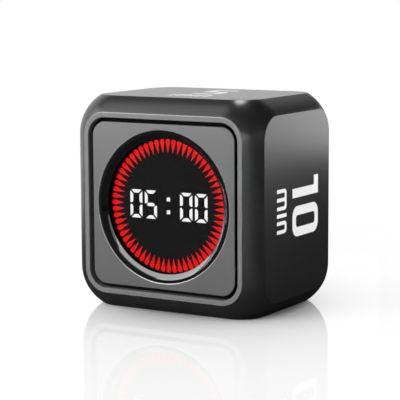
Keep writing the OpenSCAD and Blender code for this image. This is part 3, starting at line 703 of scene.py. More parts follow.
@dataclass(frozen=True)
class Finish:
    """A procedural finish with linear colours."""

    name: str
    colour: Triple
    roughness: float
    texture: Texture = Texture.GRAIN
    metallic: float = 0.0
    grain: float = 0.12
    depth: float = 0.004
    mottle: float = 0.08
    specular: float = 0.5
    coat: float = 0.0
    glow: float = 0.0
    second: Triple = (0.0, 0.0, 0.0)

    # Sizes of clouds, creases and unevenness of light in millimetres.
    CLOUD, CREASE, UNEVEN = 9.0, 4.0, 1.5
    # Share of a lamp's colour when unlit, swing of its light and swing of the roughness.
    UNLIT, SWING, WEAR = 0.05, 0.03, 0.03
    SCRATCH = (1.0, 1.0, 14.0)
    # Tracks of the boards and their share of colour, then colour, number on a metre and edge of the pads.
    TRACKS = {"Scale": 420.0, "Mortar Size": 0.045, "Brick Width": 0.9}
    TRACK_SHARE = 0.6
    PAD, PAD_COUNT, PAD_EDGE = (0.5, 0.42, 0.2), 380.0, (0.16, 0.12)

    def _tones(self, tree: Tree, share: Wire, level: float, swing: float) -> Wire:
        """The colour at a level, made lighter and darker by a swing."""
        dark, pale = (
            tuple(channel * level * side for channel in self.colour) for side in (1 - swing, 1 + swing)
        )
        return tree.mix(share, dark, pale)

    def _colour(self, tree: Tree) -> Wire:
        """Colour with the mottle or pattern of the texture."""
        level = self.UNLIT if self.glow else 1.0
        base = self._tones(tree, tree.noise(self.CLOUD, 3.0), level, self.mottle)
        if self.texture is Texture.BOARD:
            inputs = {"Vector": tree.place(), **self.TRACKS}
            brick = tree.wire("ShaderNodeTexBrick", "Fac", {"offset": 0.5}, inputs)
            tracks = tree.mix(brick * self.TRACK_SHARE, base, self.second)
            return tree.mix(tree.cells(self.PAD_COUNT).span(*self.PAD_EDGE), tracks, self.PAD)
        if self.texture is Texture.LEAD:
            across = tree.wire("ShaderNodeSeparateXYZ", "X", inputs={"Vector": tree.place()})
            return tree.mix(across.over(0.0), self.second, base)
        return base

    def _height(self, tree: Tree) -> Wire:
        """Height of the surface detail from 0 to 1."""
        if self.texture is Texture.BRUSHED:
            inputs = {"Vector": tree.place(), "Scale": self.SCRATCH}
            return tree.noise(self.grain * 6, 3.0, tree.wire("ShaderNodeMapping", "Vector", inputs=inputs))
        if self.texture is Texture.FOAM:
            return tree.cells(1 / (self.grain * 4 * MM))
        if self.texture is Texture.FOIL:
            return tree.noise(self.CREASE, 5.0)
        return tree.noise(self.grain)

    def build(self) -> bpy.types.Material:
        """Make the material.

        Returns:
            The material, named after the finish.
        """
        material = bpy.data.materials.new(self.name)
        tree = Tree.of(material)
        height = self._height(tree)
        inputs: dict = {}
        if self.glow:
            inputs["Emission_Color"] = self._tones(tree, tree.noise(self.UNEVEN), 1.0, self.SWING)
            inputs["Emission_Strength"] = self.glow
        shader = tree.surface(
            Base_Color=self._colour(tree),
            Roughness=height.span(0.2, 0.8, self.roughness - self.WEAR, self.roughness + self.WEAR),
            Metallic=self.metallic,
            Specular_IOR_Level=self.specular,
            Coat_Weight=self.coat,
            Normal=tree.bump(height, self.depth),
            **inputs,
        )
        tree.close(shader)
        return material


class Paints:
    """All finishes of the timer by name, each built once."""

    FINISHES = (
        Finish("housing_black", (0.0088, 0.0088, 0.009), 0.3, specular=0.6),
        # Lighter grey for the housing's front rim and pocket wall: partly the rim's own tone, partly
        # painted light on the same black moulding where the front light falls.
        Finish("rim_tone_and_light", (0.072, 0.072, 0.073), 0.5, specular=0.2),
        # Painted shade: near-black matt on the ledge in the groove, on the panel's edges and on the ring's
        # lip and inner wall, where shade falls; on the lip it also hides a lamp's reflection.
        Finish("groove_painted_shade", (0.003, 0.003, 0.003), 0.8, specular=0.02),
        Finish("panel_grey", (0.046, 0.046, 0.047), 0.38, grain=0.1, specular=0.22),
        Finish("ring_gloss", (0.001, 0.001, 0.0011), 0.12, grain=3.0, depth=0.001, specular=1.0, coat=1.0),
        # Painted highlight: lighter metallic grey on the rounding of the panel's window, so that it shows
        # as a bright line.
        Finish("edge_painted_highlight", (0.18, 0.18, 0.18), 0.34, metallic=0.7),
        Finish("seal_black", (0.02, 0.02, 0.02), 0.7),
        Finish("mask_black", (0.004, 0.004, 0.004), 0.6, depth=0.001, specular=0.02),
        Finish("mark_red", (0.9, 0.003, 0.003), 0.4, glow=1.0, depth=0.001, specular=0.03),
        Finish("digit_white", (1.0, 1.0, 1.0), 0.4, glow=1.0, depth=0.001, specular=0.05),
        Finish("digit_dark", (0.004, 0.004, 0.004), 0.6, depth=0.001, specular=0.02),
        Finish("board_green", (0.012, 0.075, 0.03), 0.35, Texture.BOARD, second=(0.02, 0.12, 0.05)),
        Finish("lamp_cream", (0.8, 0.76, 0.62), 0.25, grain=0.4),
        Finish("chip_black", (0.015, 0.015, 0.016), 0.55, grain=0.2, depth=0.01),
        Finish("screw_steel", (0.55, 0.55, 0.56), 0.3, Texture.BRUSHED, metallic=1.0),
        Finish("screw_black", (0.05, 0.05, 0.052), 0.34, Texture.BRUSHED, metallic=0.8),
        Finish("connector_ivory", (0.7, 0.66, 0.54), 0.45),
        Finish("ribbon_white", (0.78, 0.77, 0.72), 0.4, Texture.BRUSHED, grain=0.3),
        Finish("socket_steel", (0.6, 0.6, 0.61), 0.28, Texture.BRUSHED, metallic=1.0),
        Finish("tongue_black", (0.018, 0.018, 0.019), 0.45),
        Finish("foam_grey", (0.07, 0.07, 0.072), 0.9, Texture.FOAM, depth=0.05),
        Finish("battery_foil", (0.5, 0.51, 0.53), 0.32, Texture.FOIL, metallic=0.9, depth=0.06),
        Finish("lead_red", (0.5, 0.02, 0.016), 0.5, Texture.LEAD, second=(0.012, 0.012, 0.012)),
        Finish("plunger_red", (0.35, 0.05, 0.03), 0.4),
        Finish("control_black", (0.03, 0.03, 0.032), 0.45, grain=0.15, depth=0.006),
        Finish("phenolic_brown", (0.2, 0.08, 0.03), 0.6, Texture.BRUSHED, grain=0.3),
        Finish("print_white", (0.85, 0.85, 0.85), 0.5, grain=0.25, depth=0.003, mottle=0.02),
    )

    def __init__(self) -> None:
        """Build every finish and the lens."""
        self.made = {finish.name: finish.build() for finish in self.FINISHES}
        self.made["lens_clear"] = self._lens()

    def __getitem__(self, name: str) -> bpy.types.Material:
        """The material of a name."""
        return self.made[name]

    @staticmethod
    def _lens() -> bpy.types.Material:
        """Clear lens with a weak reflection."""
        material = bpy.data.materials.new("lens_clear")
        tree = Tree.of(material)
        tint = tree.mix(tree.noise(12.0), (0.0, 0.0, 0.0), (0.01, 0.01, 0.011))
        tree.close(tree.surface(Base_Color=tint, Roughness=0.2, Specular_IOR_Level=0.02, Alpha=0.08))
        return material


@dataclass
class Shells:
    """Housing, rear cover, front panel, window ring and lens.

    The fields are bevels, roundings, gaps and depths in millimetres, and the ring's two slopes in degrees.
    """

    paints: Paints
    edge: float = 0.14
    seam: float = 0.12
    rim_round: float = 0.2
    panel_round: float = 0.25
    mouth: float = 0.15
    lip_depth: float = 0.31
    lip_fall: float = 0.07
    dish_slopes: tuple[float, float] = (40.0, 24.5)
    dish_round: float = 0.04
    dish_steps: int = 12

    # Points round each circle, and steps of the rounded corners of the recess and of the openings in it.
    BOSS_COUNT, WELL_COUNT, BUTTON_COUNT, SOUND_COUNT, RING_COUNT, LENS_COUNT = 32, 40, 56, 24, 192, 128
    RECESS_STEPS, OPENING_STEPS = 10, 8

    def build(self) -> None:
        """Make all shells and hand them over."""
        self._housing()
        self._cover()
        self._panel()
        self._ring()
        self._lens()

    def _finish(self, shape: Shape, name: str, node: str, *finishes: str, smooth: float = 40.0) -> None:
        """Make a shell from its shape, with the main finish first, and hand it over."""
        piece = shape.piece(name, *[self.paints[finish] for finish in finishes], smooth=smooth)
        hand_over(piece, Body.TIMER, finishes[0], node)

    def _shell(self, front: bool) -> Shape:
        """Outer and inner skin of the housing or of the cover, joined at the seam and open at the flats."""
        s = SIZE
        outer = Block(
            s.edge_r, s.half, -s.depth_half, s.depth_half, -s.arc_y, s.arc_y, bevel=self.edge
        ).skin()
        far = 2 * s.depth_half
        past = far - s.arc_in + s.wall
        span = (s.mask_y, far, -s.arc_y, past) if front else (-far, s.inner_back, -past, s.arc_y)
        inner = Block(s.edge_r - s.wall, s.half - s.wall, *span).skin()
        cut = s.parting_y + (-0.5 if front else 0.5) * self.seam
        for skin in (outer, inner):
            keep_part(skin, cut, front)
        open_flat(outer, -s.depth_half if front else s.depth_half)
        open_flat(inner, s.mask_y if front else s.inner_back)
        outer.join(inner)
        outer.bridge(near_plane(cut))
        return outer

    def _housing(self) -> None:
        """Four sides and the front rim, with the pocket and the bosses."""
        s = SIZE
        shape = self._shell(front=True)
        rim = shape.rim(near_plane(-s.depth_half))
        behind = shape.rim(near_plane(s.mask_y))
        start = [vert.co.copy() for vert in rim]
        pocket = [*rolled(s.pocket_r, -s.depth_half, self.rim_round), (s.pocket_r, s.ledge_y)]
        rings = [inside(start, r, y) for r, y in pocket]
        rings += [inside(start, s.opening_r, y, core=0.0) for y in (s.ledge_y, s.mask_y)]
        loops = [rim, *[shape.loop(ring) for ring in rings]]
        shape.loft(loops)
        holes = [loops[-1]]
        pilot = s.head_y - s.screw_len
        boss = [(s.boss_r, s.mask_y), (s.boss_r, s.boss_top), (s.screw_r, s.boss_top), (s.screw_r, pilot)]
        for x, z in corner_places(s.screw_x):
            foot, end = shape.lathe(boss, self.BOSS_COUNT, x, z)
            shape.cap(end)
            holes.append(foot)
        shape.fill([behind, *holes])
        reach = s.pocket_r + self.rim_round + NEAR
        # Painted light and shade: the rim and the pocket wall take the lighter grey, the ledge in the
        # groove the near-black painted shade.
        shape.paint(near_plane(-s.depth_half), 1)
        shape.paint(lambda point: point.y < s.ledge_y + NEAR and square_reach(point) < reach, 1)
        shape.paint(near_plane(s.ledge_y), 2)
        self._finish(shape, "housing_shell", "main_housing", "housing_black", "rim_tone_and_light", "groove_painted_shade")

    @staticmethod
    def _opening(wide: float, high: float, r: float, steps: int, z: float, levels: Outline) -> list[Points]:
        """Rings of a rounded opening.

        Args:
            wide: Half its width.
            high: Half its height.
            r: Radius of its corners.
            steps: Segments of each corner.
            z: Middle of the opening along the body's height.
            levels: How much the opening grows at each depth.

        Returns:
            The rings in the order of the levels.
        """
        rings = []
        for grow, y in levels:
            w, h = wide + grow, high + grow
            rings.append(at_depth(rectangle(-w, -h, w, h, r + grow, steps), y, 0.0, z))
        return rings

    def _cover(self) -> None:
        """Back with its recess, the openings for the controls and the screw wells."""
        s = SIZE
        soft, mouth = self.rim_round, self.mouth
        shape = self._shell(front=False)
        on_back = [shape.rim(near_plane(s.depth_half))]
        on_inside = [shape.rim(near_plane(s.inner_back))]
        half = s.flat_half - s.recess_margin
        levels = [(soft, s.depth_half), (0.3 * soft, s.depth_half - 0.3 * soft), (0.0, s.depth_half - soft),
                  (0.0, s.floor_y + mouth), (-mouth, s.floor_y)]
        edge, floor = shape.well(self._opening(half, half, s.recess_r, self.RECESS_STEPS, 0.0, levels))
        on_back.append(edge)
        on_floor = [floor]
        clear, well = s.screw_r + s.screw_clear, s.head_r + s.screw_clear
        profile = [(well + mouth, s.depth_half), (well, s.depth_half - mouth), (well, s.head_y),
                   (clear, s.head_y), (clear, s.boss_top), (s.boss_r, s.boss_top), (s.boss_r, s.inner_back)]
        for x, z in corner_places(s.screw_x):
            top, foot = shape.lathe(profile, self.WELL_COUNT, x, z)
            on_back.append(top)
            on_inside.append(foot)
        levels = [(mouth, s.floor_y), (0.0, s.floor_y - mouth), (0.0, s.inner_back)]
        wells = []
        for x in (-s.button_x, s.button_x):
            r = s.button_r + s.run_gap
            wells.append([circle(r + grow, y, self.BUTTON_COUNT, x) for grow, y in levels])
        slot = (s.slot_half, s.knob_w / 2 + s.run_gap, s.slot_r)
        usb = (s.usb_w / 2 + s.usb_gap, s.usb_h / 2 + s.usb_gap, s.usb_r)
        for size, z in ((slot, s.control_z), (usb, -s.control_z)):
            wells.append(self._opening(*size, self.OPENING_STEPS, z, levels))
        for at in (Vector((0, 0, 0)), *circle(s.sound_pitch, 0.0, 6)):
            wells.append([circle(s.sound_r + grow, y, self.SOUND_COUNT, at.x, at.z) for grow, y in levels])
        for rings in wells:
            top, foot = shape.well(rings)
            on_floor.append(top)
            on_inside.append(foot)
        for loops in (on_back, on_floor, on_inside):
            shape.fill(loops)
        self._finish(shape, "back_shell", "rear_cover", "housing_black")

    def _panel(self) -> None:
        """Square panel with its round window."""
        s = SIZE
        size = self.panel_round
        shape = Shape()
        first = square_loop(s.panel_r, s.ledge_y)
        rings = [first, *[inside(first, r, y) for r, y in reversed(rolled(s.panel_r, s.panel_y, -size))]]
        window = [*rolled(s.window_r, s.panel_y, size), (s.window_r, s.ledge_y)]
        rings += [inside(first, r, y, core=0.0) for r, y in window]
        shape.loft([shape.loop(ring) for ring in rings], closed=True)
        deep, wide = s.panel_y + size + NEAR, s.window_r + size + NEAR
        # Painted shade on the panel's edges in the groove, and a painted highlight on the rounding of the
        # window.
        shape.paint(lambda point: square_reach(point) > s.panel_r - size / 5, 1)
        shape.paint(lambda point: point.y < deep and point.xz.length < wide, 2)
        self._finish(shape, "front_plate", "front_panel", "panel_grey", "groove_painted_shade", "edge_painted_highlight")

    def _ring(self) -> None:
        """Polished ring round the display, whose dish curves from its steep slope to its shallow one."""
        s = SIZE
        lip_y = s.panel_y + self.lip_depth
        dish_y = s.panel_y - s.ring_proud + s.ring_bevel_d + s.ring_dish_d
        under_y = s.ledge_y - s.seal_t
        dish_r = s.ring_inner_r + s.ring_dish_w
        steep, shallow = (math.tan(math.radians(slope)) for slope in self.dish_slopes)
        turn = (dish_y - lip_y - shallow * s.ring_dish_w) / (steep - shallow)
        outer, inner = Vector((dish_r, lip_y)), Vector((s.ring_inner_r, dish_y))
        middle = Vector((dish_r - turn, lip_y + steep * turn))
        along = shares(self.dish_steps)[1:-1]
        curve = [outer.lerp(middle, t).lerp(middle.lerp(inner, t), t) for t in along]
        corners = [
            (s.ring_r, s.ledge_y, 0.0), (s.ring_r, lip_y - self.lip_fall, 0.0), (dish_r, lip_y, 0.0),
            *[(r, y, 0.0) for r, y in curve], (s.ring_inner_r, dish_y, self.dish_round),
            (s.ring_inner_r, under_y, 0.0), (s.opening_r, under_y, 0.0), (s.opening_r, s.ledge_y, 0.0),
        ]
        shape = Shape()
        section = rounded(corners, 5)
        shape.loft([shape.loop(circle(r, y, self.RING_COUNT)) for r, y in section], closed=True)
        lip, wall = lip_y + NEAR / 2, s.ring_inner_r + self.dish_round + NEAR / 2
        # Painted shade: the lip and the inner wall take the near-black finish, which also keeps the lip
        # from mirroring a lamp.
        shape.paint(lambda point: point.y < lip or point.xz.length < wall, 1)
        self._finish(shape, "polished_ring", "window_ring", "ring_gloss", "groove_painted_shade", smooth=25.0)

    def _lens(self) -> None:
        """Clear disc with a small chamfer."""
        r, front, cut = SIZE.opening_r - SIZE.lens_fit, SIZE.ledge_y, self.mouth
        back = front + SIZE.lens_t
        shape = Shape()
        profile = [(r - cut, front), (r, front + cut), (r, back - cut), (r - cut, back)]
        for end in shape.lathe(profile, self.LENS_COUNT):
            shape.cap(end)
        self._finish(shape, "clear_lens", "display_lens", "lens_clear")


class Repeat(Tree):
    """Geometry Nodes tree that repeats a piece round a circle or at the corners of a square."""

    def __init__(self, name: str, value: str, kind: str) -> None:
        """Make the group with its inputs: the piece, its material and one value."""
        super().__init__(bpy.data.node_groups.new(name, "GeometryNodeTree"), "NodeGroupOutput")
        face = self.tree.interface
        face.new_socket("Geometry", in_out="OUTPUT", socket_type="NodeSocketGeometry")
        kinds = {"Geometry": "NodeSocketGeometry", "Material": "NodeSocketMaterial", value: kind}
        self.names = {
            key: face.new_socket(key, in_out="INPUT", socket_type=socket).identifier
            for key, socket in kinds.items()
        }
        start = self.node("NodeGroupInput")
        self.start = {key: Wire(self, start.outputs[key]) for key in kinds}

    @classmethod
    def ring(cls, name: str) -> "Repeat":
        """A tree that repeats round the Y axis, Count times."""
        made = cls(name, "Count", "NodeSocketInt")
        count = made.start["Count"]
        line = made.wire("GeometryNodeMeshLine", inputs={"Count": count, "Offset": (0.0, 0.0, 0.0)})
        angle = made.wire("GeometryNodeInputIndex") / count * (2 * math.pi)
        made._copy(line, Rotation=made.wire("ShaderNodeCombineXYZ", inputs={"Y": angle}))
        return made

    @classmethod
    def corners(cls, name: str) -> "Repeat":
        """A tree that repeats at the four corners of a square across Y, of the side Size."""
        made = cls(name, "Size", "NodeSocketFloat")
        size = made.start["Size"]
        sides = {"Size X": size, "Size Y": size, "Vertices X": 2, "Vertices Y": 2}
        grid = made.wire("GeometryNodeMeshGrid", inputs=sides)
        upright = {"Geometry": grid, "Rotation": (QUARTER, 0.0, 0.0)}
        made._copy(made.wire("GeometryNodeTransform", inputs=upright))
        return made

    def _copy(self, points: Wire, **inputs: Wire) -> None:
        """Put the piece on points, then realize, lift and paint the copies."""
        inputs |= {"Points": points, "Instance": self.start["Geometry"]}
        copies = self.wire("GeometryNodeInstanceOnPoints", inputs=inputs)
        real = self.wire("GeometryNodeRealizeInstances", inputs={"Geometry": copies})
        lifted = {"Geometry": real, "Translation": (0.0, 0.0, SIZE.half * MM)}
        lift = self.wire("GeometryNodeTransform", inputs=lifted)
        painted = {"Geometry": lift, "Material": self.start["Material"]}
        self.close(self.wire("GeometryNodeSetMaterial", inputs=painted), "Geometry")

    def make(self, shape: Shape, name: str, **values: object) -> bpy.types.Object:
        """Make a piece from the shape of one copy.

        Args:
            shape: The copy, round the middle of the body.
            name: Name of the piece.
            values: Values of the tree's inputs by name.

        Returns:
            The piece with all copies.
        """
        lowered = Matrix.Translation((0, 0, -SIZE.half))
        piece = shape.piece(name, values["Material"], place=lowered)
        modifier = piece.modifiers.new(self.tree.name, "NODES")
        modifier.node_group = self.tree
        for key, value in values.items():
            modifier[self.names[key]] = value
        settle(piece)
        return piece


@dataclass
class Display:
    """Ring of marks and the digits behind the lens, whose segments lie a little inside their windows."""

    paints: Paints
    shown: str = "0500"
    inset: float = 0.09
    head_steps: int = 20

    SEGMENTS = {"0": "abcdef", "5": "acdfg"}

    def build(self) -> None:
        """Make the marks and the segments and hand them over."""
        self._marks()
        lit, dark = Shape(), Shape()
        s = SIZE
        near = s.digit_h * s.colon_gap_share + s.digit_w / 2
        far = near + s.digit_w + s.digit_h * s.digit_gap_share
        for x, figure in zip((-far, -near, near, far), self.shown, strict=True):
            for letter, outline in self._segments().items():
                target = lit if letter in self.SEGMENTS[figure] else dark
                self._add(target, [(x + across, up) for across, up in outline])
        dot = s.digit_h * s.colon_dot_share / 2 - self.inset
        for side in (-1, 1):
            rise = side * s.digit_h * s.colon_rise_share
            self._add(lit, rectangle(-dot, rise - dot, dot, rise + dot))
        pieces = {"lit_segments": (lit, "digit_white"), "dark_segments": (dark, "digit_dark")}
        for name, (shape, paint) in pieces.items():
            piece = shape.piece(name, self.paints[paint])
            hand_over(piece, Body.TIMER, "digit_white", "digit_guides")

    @staticmethod
    def _add(shape: Shape, outline: Outline) -> None:
        """Add one light guide."""
        shape.prism([outline], SIZE.mask_y, SIZE.mask_y + SIZE.guide_t)

    def _segments(self) -> dict[str, Outline]:
        """Outlines of the seven segments round the middle of a digit."""
        s = SIZE
        t = s.digit_h * s.seg_share - 2 * self.inset
        gap = s.digit_h * s.seg_gap_share + self.inset * math.sqrt(2)
        half_h, half_w = s.digit_h / 2 - self.inset, s.digit_w / 2 - self.inset
        bar = half_w - gap
        top = [(-bar, half_h), (-bar + t, half_h - t), (bar - t, half_h - t), (bar, half_h)]
        mid = half_w - (t + gap) / 2
        middle = [(-mid, 0), (-mid + t / 2, -t / 2), (mid - t / 2, -t / 2), (mid, 0),
                  (mid - t / 2, t / 2), (-mid + t / 2, t / 2)]
        low = gap * math.sqrt(2) / 2
        right = [(half_w, half_h - gap), (half_w - t, half_h - gap - t), (half_w - t, low + t / 2),
                 (half_w - t / 2, low), (half_w, low)]
        mirrors = {"a": (top, 1, 1), "d": (top, 1, -1), "g": (middle, 1, 1), "b": (right, 1, 1),
                   "c": (right, 1, -1), "f": (right, -1, 1), "e": (right, -1, -1)}
        return {
            letter: [(x * across, z * up) for across, up in outline]
            for letter, (outline, x, z) in mirrors.items()
        }

    def _marks(self) -> None:
        """One teardrop, repeated round the ring."""
        r = SIZE.mark_head_r
        middle = SIZE.mark_outer_r - r
        slope = math.asin(r / (SIZE.mark_len - r))
        outline = [(0.0, middle - r / math.sin(slope))]
        for share in shares(self.head_steps):
            angle = -slope + (math.pi + 2 * slope) * share
            outline.append((r * math.cos(angle), middle + r * math.sin(angle)))
        shape = Shape()
        self._add(shape, outline)
        repeat = Repeat.ring("ring_of_marks")
        piece = repeat.make(shape, "mark_ring", Material=self.paints["mark_red"], Count=SIZE.mark_count)
        hand_over(piece, Body.TIMER, "mark_red", "mark_guides")


@dataclass(frozen=True)
class Lettering:
    """Squared figures and letters of the printed sides, in millimetres from their lower left corner.

    The flag is that of the 1, the bowl and the trim belong to the 5 and the tongue to the 3. Small letters
    have their own height, stroke and roundings.
    """

    tall: float = 16.4
    wide: float = 9.05
    stem: float = 2.75
    bar: float = 2.2
    turn: float = 3.1
    inner: float = 1.0
    flag: float = 2.87
    bowl_share: float = 0.61
    trim: float = 0.5
    tongue: float = 1.6
    small: float = 5.8
    thin: float = 1.1
    small_turn: float = 1.3
    small_inner: float = 0.5
    n_wide: float = 3.65
    m_wide: float = 6.2

    def figure(self, sign: str) -> tuple[float, list[Outline]]:
        """Width and outlines of a figure or letter."""
        w, h, s, b, r, i = self.wide, self.tall, self.stem, self.bar, self.turn, self.inner
        if sign == "0":
            return w, [rectangle(0, 0, w, h, r), rectangle(s, b, w - s, h - b, i)]
        if sign == "1":
            f = self.flag
            return f + s, [[(f, 0), (f + s, 0), (f + s, h), (0, h), (0, h - s), (f, h - s)]]
        if sign == "5":
            e, top, low = self.trim, self.bowl_share * h, self.bowl_share * h - b
            corners = [(e, 0, 0), (w, 0, r), (w, top, r), (s, top, 0), (s, h - b, 0), (w - e, h - b, 0),
                       (w - e, h, 0), (0, h, 0), (0, low, 0), (w - s, low, i), (w - s, b, i), (e, b, 0)]
            return w, [rounded(corners)]
        if sign == "3":
            e, top, low = self.tongue, (h + b) / 2, (h - b) / 2
            corners = [(0, 0, 0), (w, 0, r), (w, h, r), (0, h, 0), (0, h - b, 0), (w - s, h - b, i),
                       (w - s, top, 0), (e, top, 0), (e, low, 0), (w - s, low, 0), (w - s, b, i), (0, b, 0)]
            return w, [rounded(corners)]
        t, x = self.thin, self.small
        if sign == "i":
            return t, [rectangle(0, 0, t, x)]
        return self._arches(self.n_wide, 1) if sign == "n" else self._arches(self.m_wide, 2)

    def _arches(self, wide: float, count: int) -> tuple[float, list[Outline]]:
        """Width and outline of a small letter with one or two arches."""
        t, x, r, i = self.thin, self.small, self.small_turn, self.small_inner
        corners = [(0, 0, 0), (0, x, r), (wide, x, r), (wide, 0, 0)]
        step = (wide - t) / count
        for arch in range(count, 0, -1):
            right, left = arch * step, (arch - 1) * step + t
            corners += [(right, 0, 0), (right, x - t, i), (left, x - t, i), (left, 0, 0)]
        return wide, [rounded(corners)]


@dataclass(frozen=True)
class Side:
    """A printed side: its figures, the ways of reading and out, and the print's shift along reading."""

    name: str
    figures: str
    reading: Triple
    outward: Triple
    shift: float = 0.78

    def matrix(self) -> Matrix:
        """Frame of the side in millimetres: reading along X, outwards along Y, up along Z."""
        out = Vector(self.outward)
        columns = (Vector(self.reading), out, Vector((0, 1, 0)), out * SIZE.half)
        return Matrix([[column[row] for column in columns] for row in range(3)] + [[0, 0, 0, 1]])


@dataclass
class Prints:
    """White prints on the four sides and on the buttons.

    Each line of text has its base and its gaps in millimetres, and a sign half its length and width.
    """

    paints: Paints
    letters: Lettering = Lettering()
    thick: float = 0.015
    figure_line: tuple[float, float] = (-3.4, 2.58)
    word_line: tuple[float, float] = (-12.9, 1.05)
    sign: tuple[float, float] = (1.6, 0.28)

    SIDES = (
        Side("right", "10", (0, 0, -1), (1, 0, 0)),
        Side("top", "5", (1, 0, 0), (0, 0, 1), 1.25),
        Side("left", "15", (0, 0, 1), (-1, 0, 0)),
        Side("bottom", "30", (-1, 0, 0), (0, 0, -1), 0.0),
    )

    def build(self) -> None:
        """Make all prints and hand them over."""
        for side in self.SIDES:
            shape = Shape()
            self._line(shape, side.figures, side.shift, *self.figure_line)
            self._line(shape, "min", side.shift, *self.word_line)
            piece = shape.piece(f"print_{side.name}", self.paints["print_white"], place=side.matrix())
            hand_over(piece, Body.TIMER)
        long, short = self.sign
        self._button("plus", Body.PLUS, -SIZE.button_x, cross(long, short))
        self._button("minus", Body.MINUS, SIZE.button_x, rectangle(-long, -short, long, short))

    def _line(self, shape: Shape, text: str, shift: float, base: float, gap: float) -> None:
        """Set a line of text centred on the side."""
        drawn = [self.letters.figure(sign) for sign in text]
        across = shift - (sum(width for width, _ in drawn) + gap * (len(drawn) - 1)) / 2
        for width, outlines in drawn:
            moved = [[(u + across, v + base) for u, v in outline] for outline in outlines]
            shape.prism(moved, -self.thick, self.thick)
            across += width + gap

    def _button(self, name: str, body: Body, x: float, outline: Outline) -> None:
        """Sign on a button of the back."""
        shape = Shape()
        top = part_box(f"{name}_button")[1].y / MM
        shape.prism([[(u + x, v) for u, v in outline]], top - self.thick, top + self.thick)
        piece = shape.piece(f"sign_{name}", self.paints["print_white"])
        hand_over(piece, body)


@dataclass(frozen=True)
class Softened:
    """A CAD node that is shown with its sharp edges bevelled by a width in millimetres."""

    node: str
    slot: str
    width: float
    body: Body = Body.TIMER


class Hardware:
    """Controls, screws and inner parts."""

    SOFTENED = (
        Softened("plus_button", "control_black", 0.08, Body.PLUS),
        Softened("minus_button", "control_black", 0.08, Body.MINUS),
        Softened("switch_knob", "control_black", 0.12, Body.SLIDER),
        Softened("usb_socket", "socket_steel", 0.08),
        Softened("usb_tongue", "tongue_black", 0.08),
        Softened("battery", "battery_foil", 0.3),
        Softened("main_board", "board_green", 0.08),
        Softened("display_board", "board_green", 0.08),
        Softened("microcontroller", "chip_black", 0.06),
        Softened("gravity_sensor", "chip_black", 0.06),
        Softened("charge_chip", "chip_black", 0.06),
        Softened("led_driver", "chip_black", 0.06),
        Softened("timing_crystal", "screw_steel", 0.15),
        Softened("battery_plug", "connector_ivory", 0.1),
        Softened("main_connector", "connector_ivory", 0.1),
        Softened("display_connector", "connector_ivory", 0.1),
        Softened("buzzer", "chip_black", 0.15),
        Softened("tact_switches", "tongue_black", 0.1),
        Softened("switch_can", "socket_steel", 0.06),
    )
    PAINTED = {
        "lens_seal": "seal_black", "light_mask": "mask_black", "display_leds": "lamp_cream",
        "display_screws": "screw_steel", "ribbon_cable": "ribbon_white", "buzzer_foam": "foam_grey",
        "battery_pad": "foam_grey", "battery_leads": "lead_red", "plus_plunger": "plunger_red",
        "minus_plunger": "plunger_red", "switch_base": "phenolic_brown", "switch_slider": "tongue_black",
        "board_screws": "screw_steel",
    }
    FLAT_ANGLE = math.radians(1.0)
    SHARP_ANGLE = math.radians(50.0)
    SCREW_COUNT = 48
    # Share of the radius at the screw's tip and length of its taper.
    SCREW_TIP = (0.6, 0.6)
    # Insets and drops of the edge of the head.
    SCREW_HEAD = ((0.0, 0.45), (0.12, 0.18), (0.4, 0.0))
    # Half an arm, half its width and its depth as shares of the head, and the share left at the foot.
    SCREW_CROSS = (0.575, 0.15, 0.5, 0.7)

    def __init__(self, paints: Paints) -> None:
        """Keep the finishes."""
        self.paints = paints

    def build(self) -> None:
        """Bevel, paint and repeat the hardware."""
        for item in self.SOFTENED:
            self._soften(item)
        for node, paint in self.PAINTED.items():
            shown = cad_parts[node]
            shown.data.materials.clear()
            shown.data.materials.append(self.paints[paint])
        self._cover_screws()

    def _soften(self, item: Softened) -> None:
        """Show a copy of a CAD node with bevelled edges."""
        shape = Shape()
        bm = shape.bm
        bm.from_mesh(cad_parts[item.node].data)
        bm.transform(Matrix.Translation((0, 0, -SIZE.half)) @ Matrix.Scale(1 / MM, 4))
        bmesh.ops.remove_doubles(bm, verts=bm.verts, dist=WELD)
        bmesh.ops.dissolve_limit(bm, angle_limit=self.FLAT_ANGLE, verts=bm.verts, edges=bm.edges)
        sharp = [e for e in bm.edges if e.is_manifold and e.calc_face_angle(0.0) > self.SHARP_ANGLE]
        bmesh.ops.bevel(
            bm, geom=sharp, offset=item.width, segments=2, profile=0.5, affect="EDGES", clamp_overlap=True
        )
        bmesh.ops.dissolve_degenerate(bm, dist=WELD, edges=bm.edges)
        piece = shape.piece(f"{item.node}_shape", self.paints[item.slot])
        hand_over(piece, item.body, item.slot, item.node)

    def _cover_screws(self) -> None:
        """One pan-head screw with a cross, repeated at the corners of the back."""
        s = SIZE
        shape = Shape()
        tip, top = s.head_y - s.screw_len, s.head_y + s.head_h
        point, taper = self.SCREW_TIP
        profile = [
            (point * s.screw_r, tip), (s.screw_r, tip + taper), (s.screw_r, s.head_y), (s.head_r, s.head_y),
            *[(s.head_r - inset, top - drop) for inset, drop in self.SCREW_HEAD],
        ]
        end, crown = shape.lathe(profile, self.SCREW_COUNT)
        shape.cap(end)
        arm, narrow, depth, foot = self.SCREW_CROSS
        drive = cross(arm * s.head_r, narrow * s.head_r)
        bottom = [(across * foot, up * foot) for across, up in drive]
        mouth, floor = shape.well([at_depth(drive, top), at_depth(bottom, top - depth * s.head_h)])
        shape.fill([crown, mouth])
        shape.fill([floor])
        repeat = Repeat.corners("screws_at_corners")
        piece = repeat.make(
            shape, "back_screws", Material=self.paints["screw_black"], Size=2 * s.screw_x * MM
        )
        hand_over(piece, Body.TIMER, "screw_black", "cover_screws")


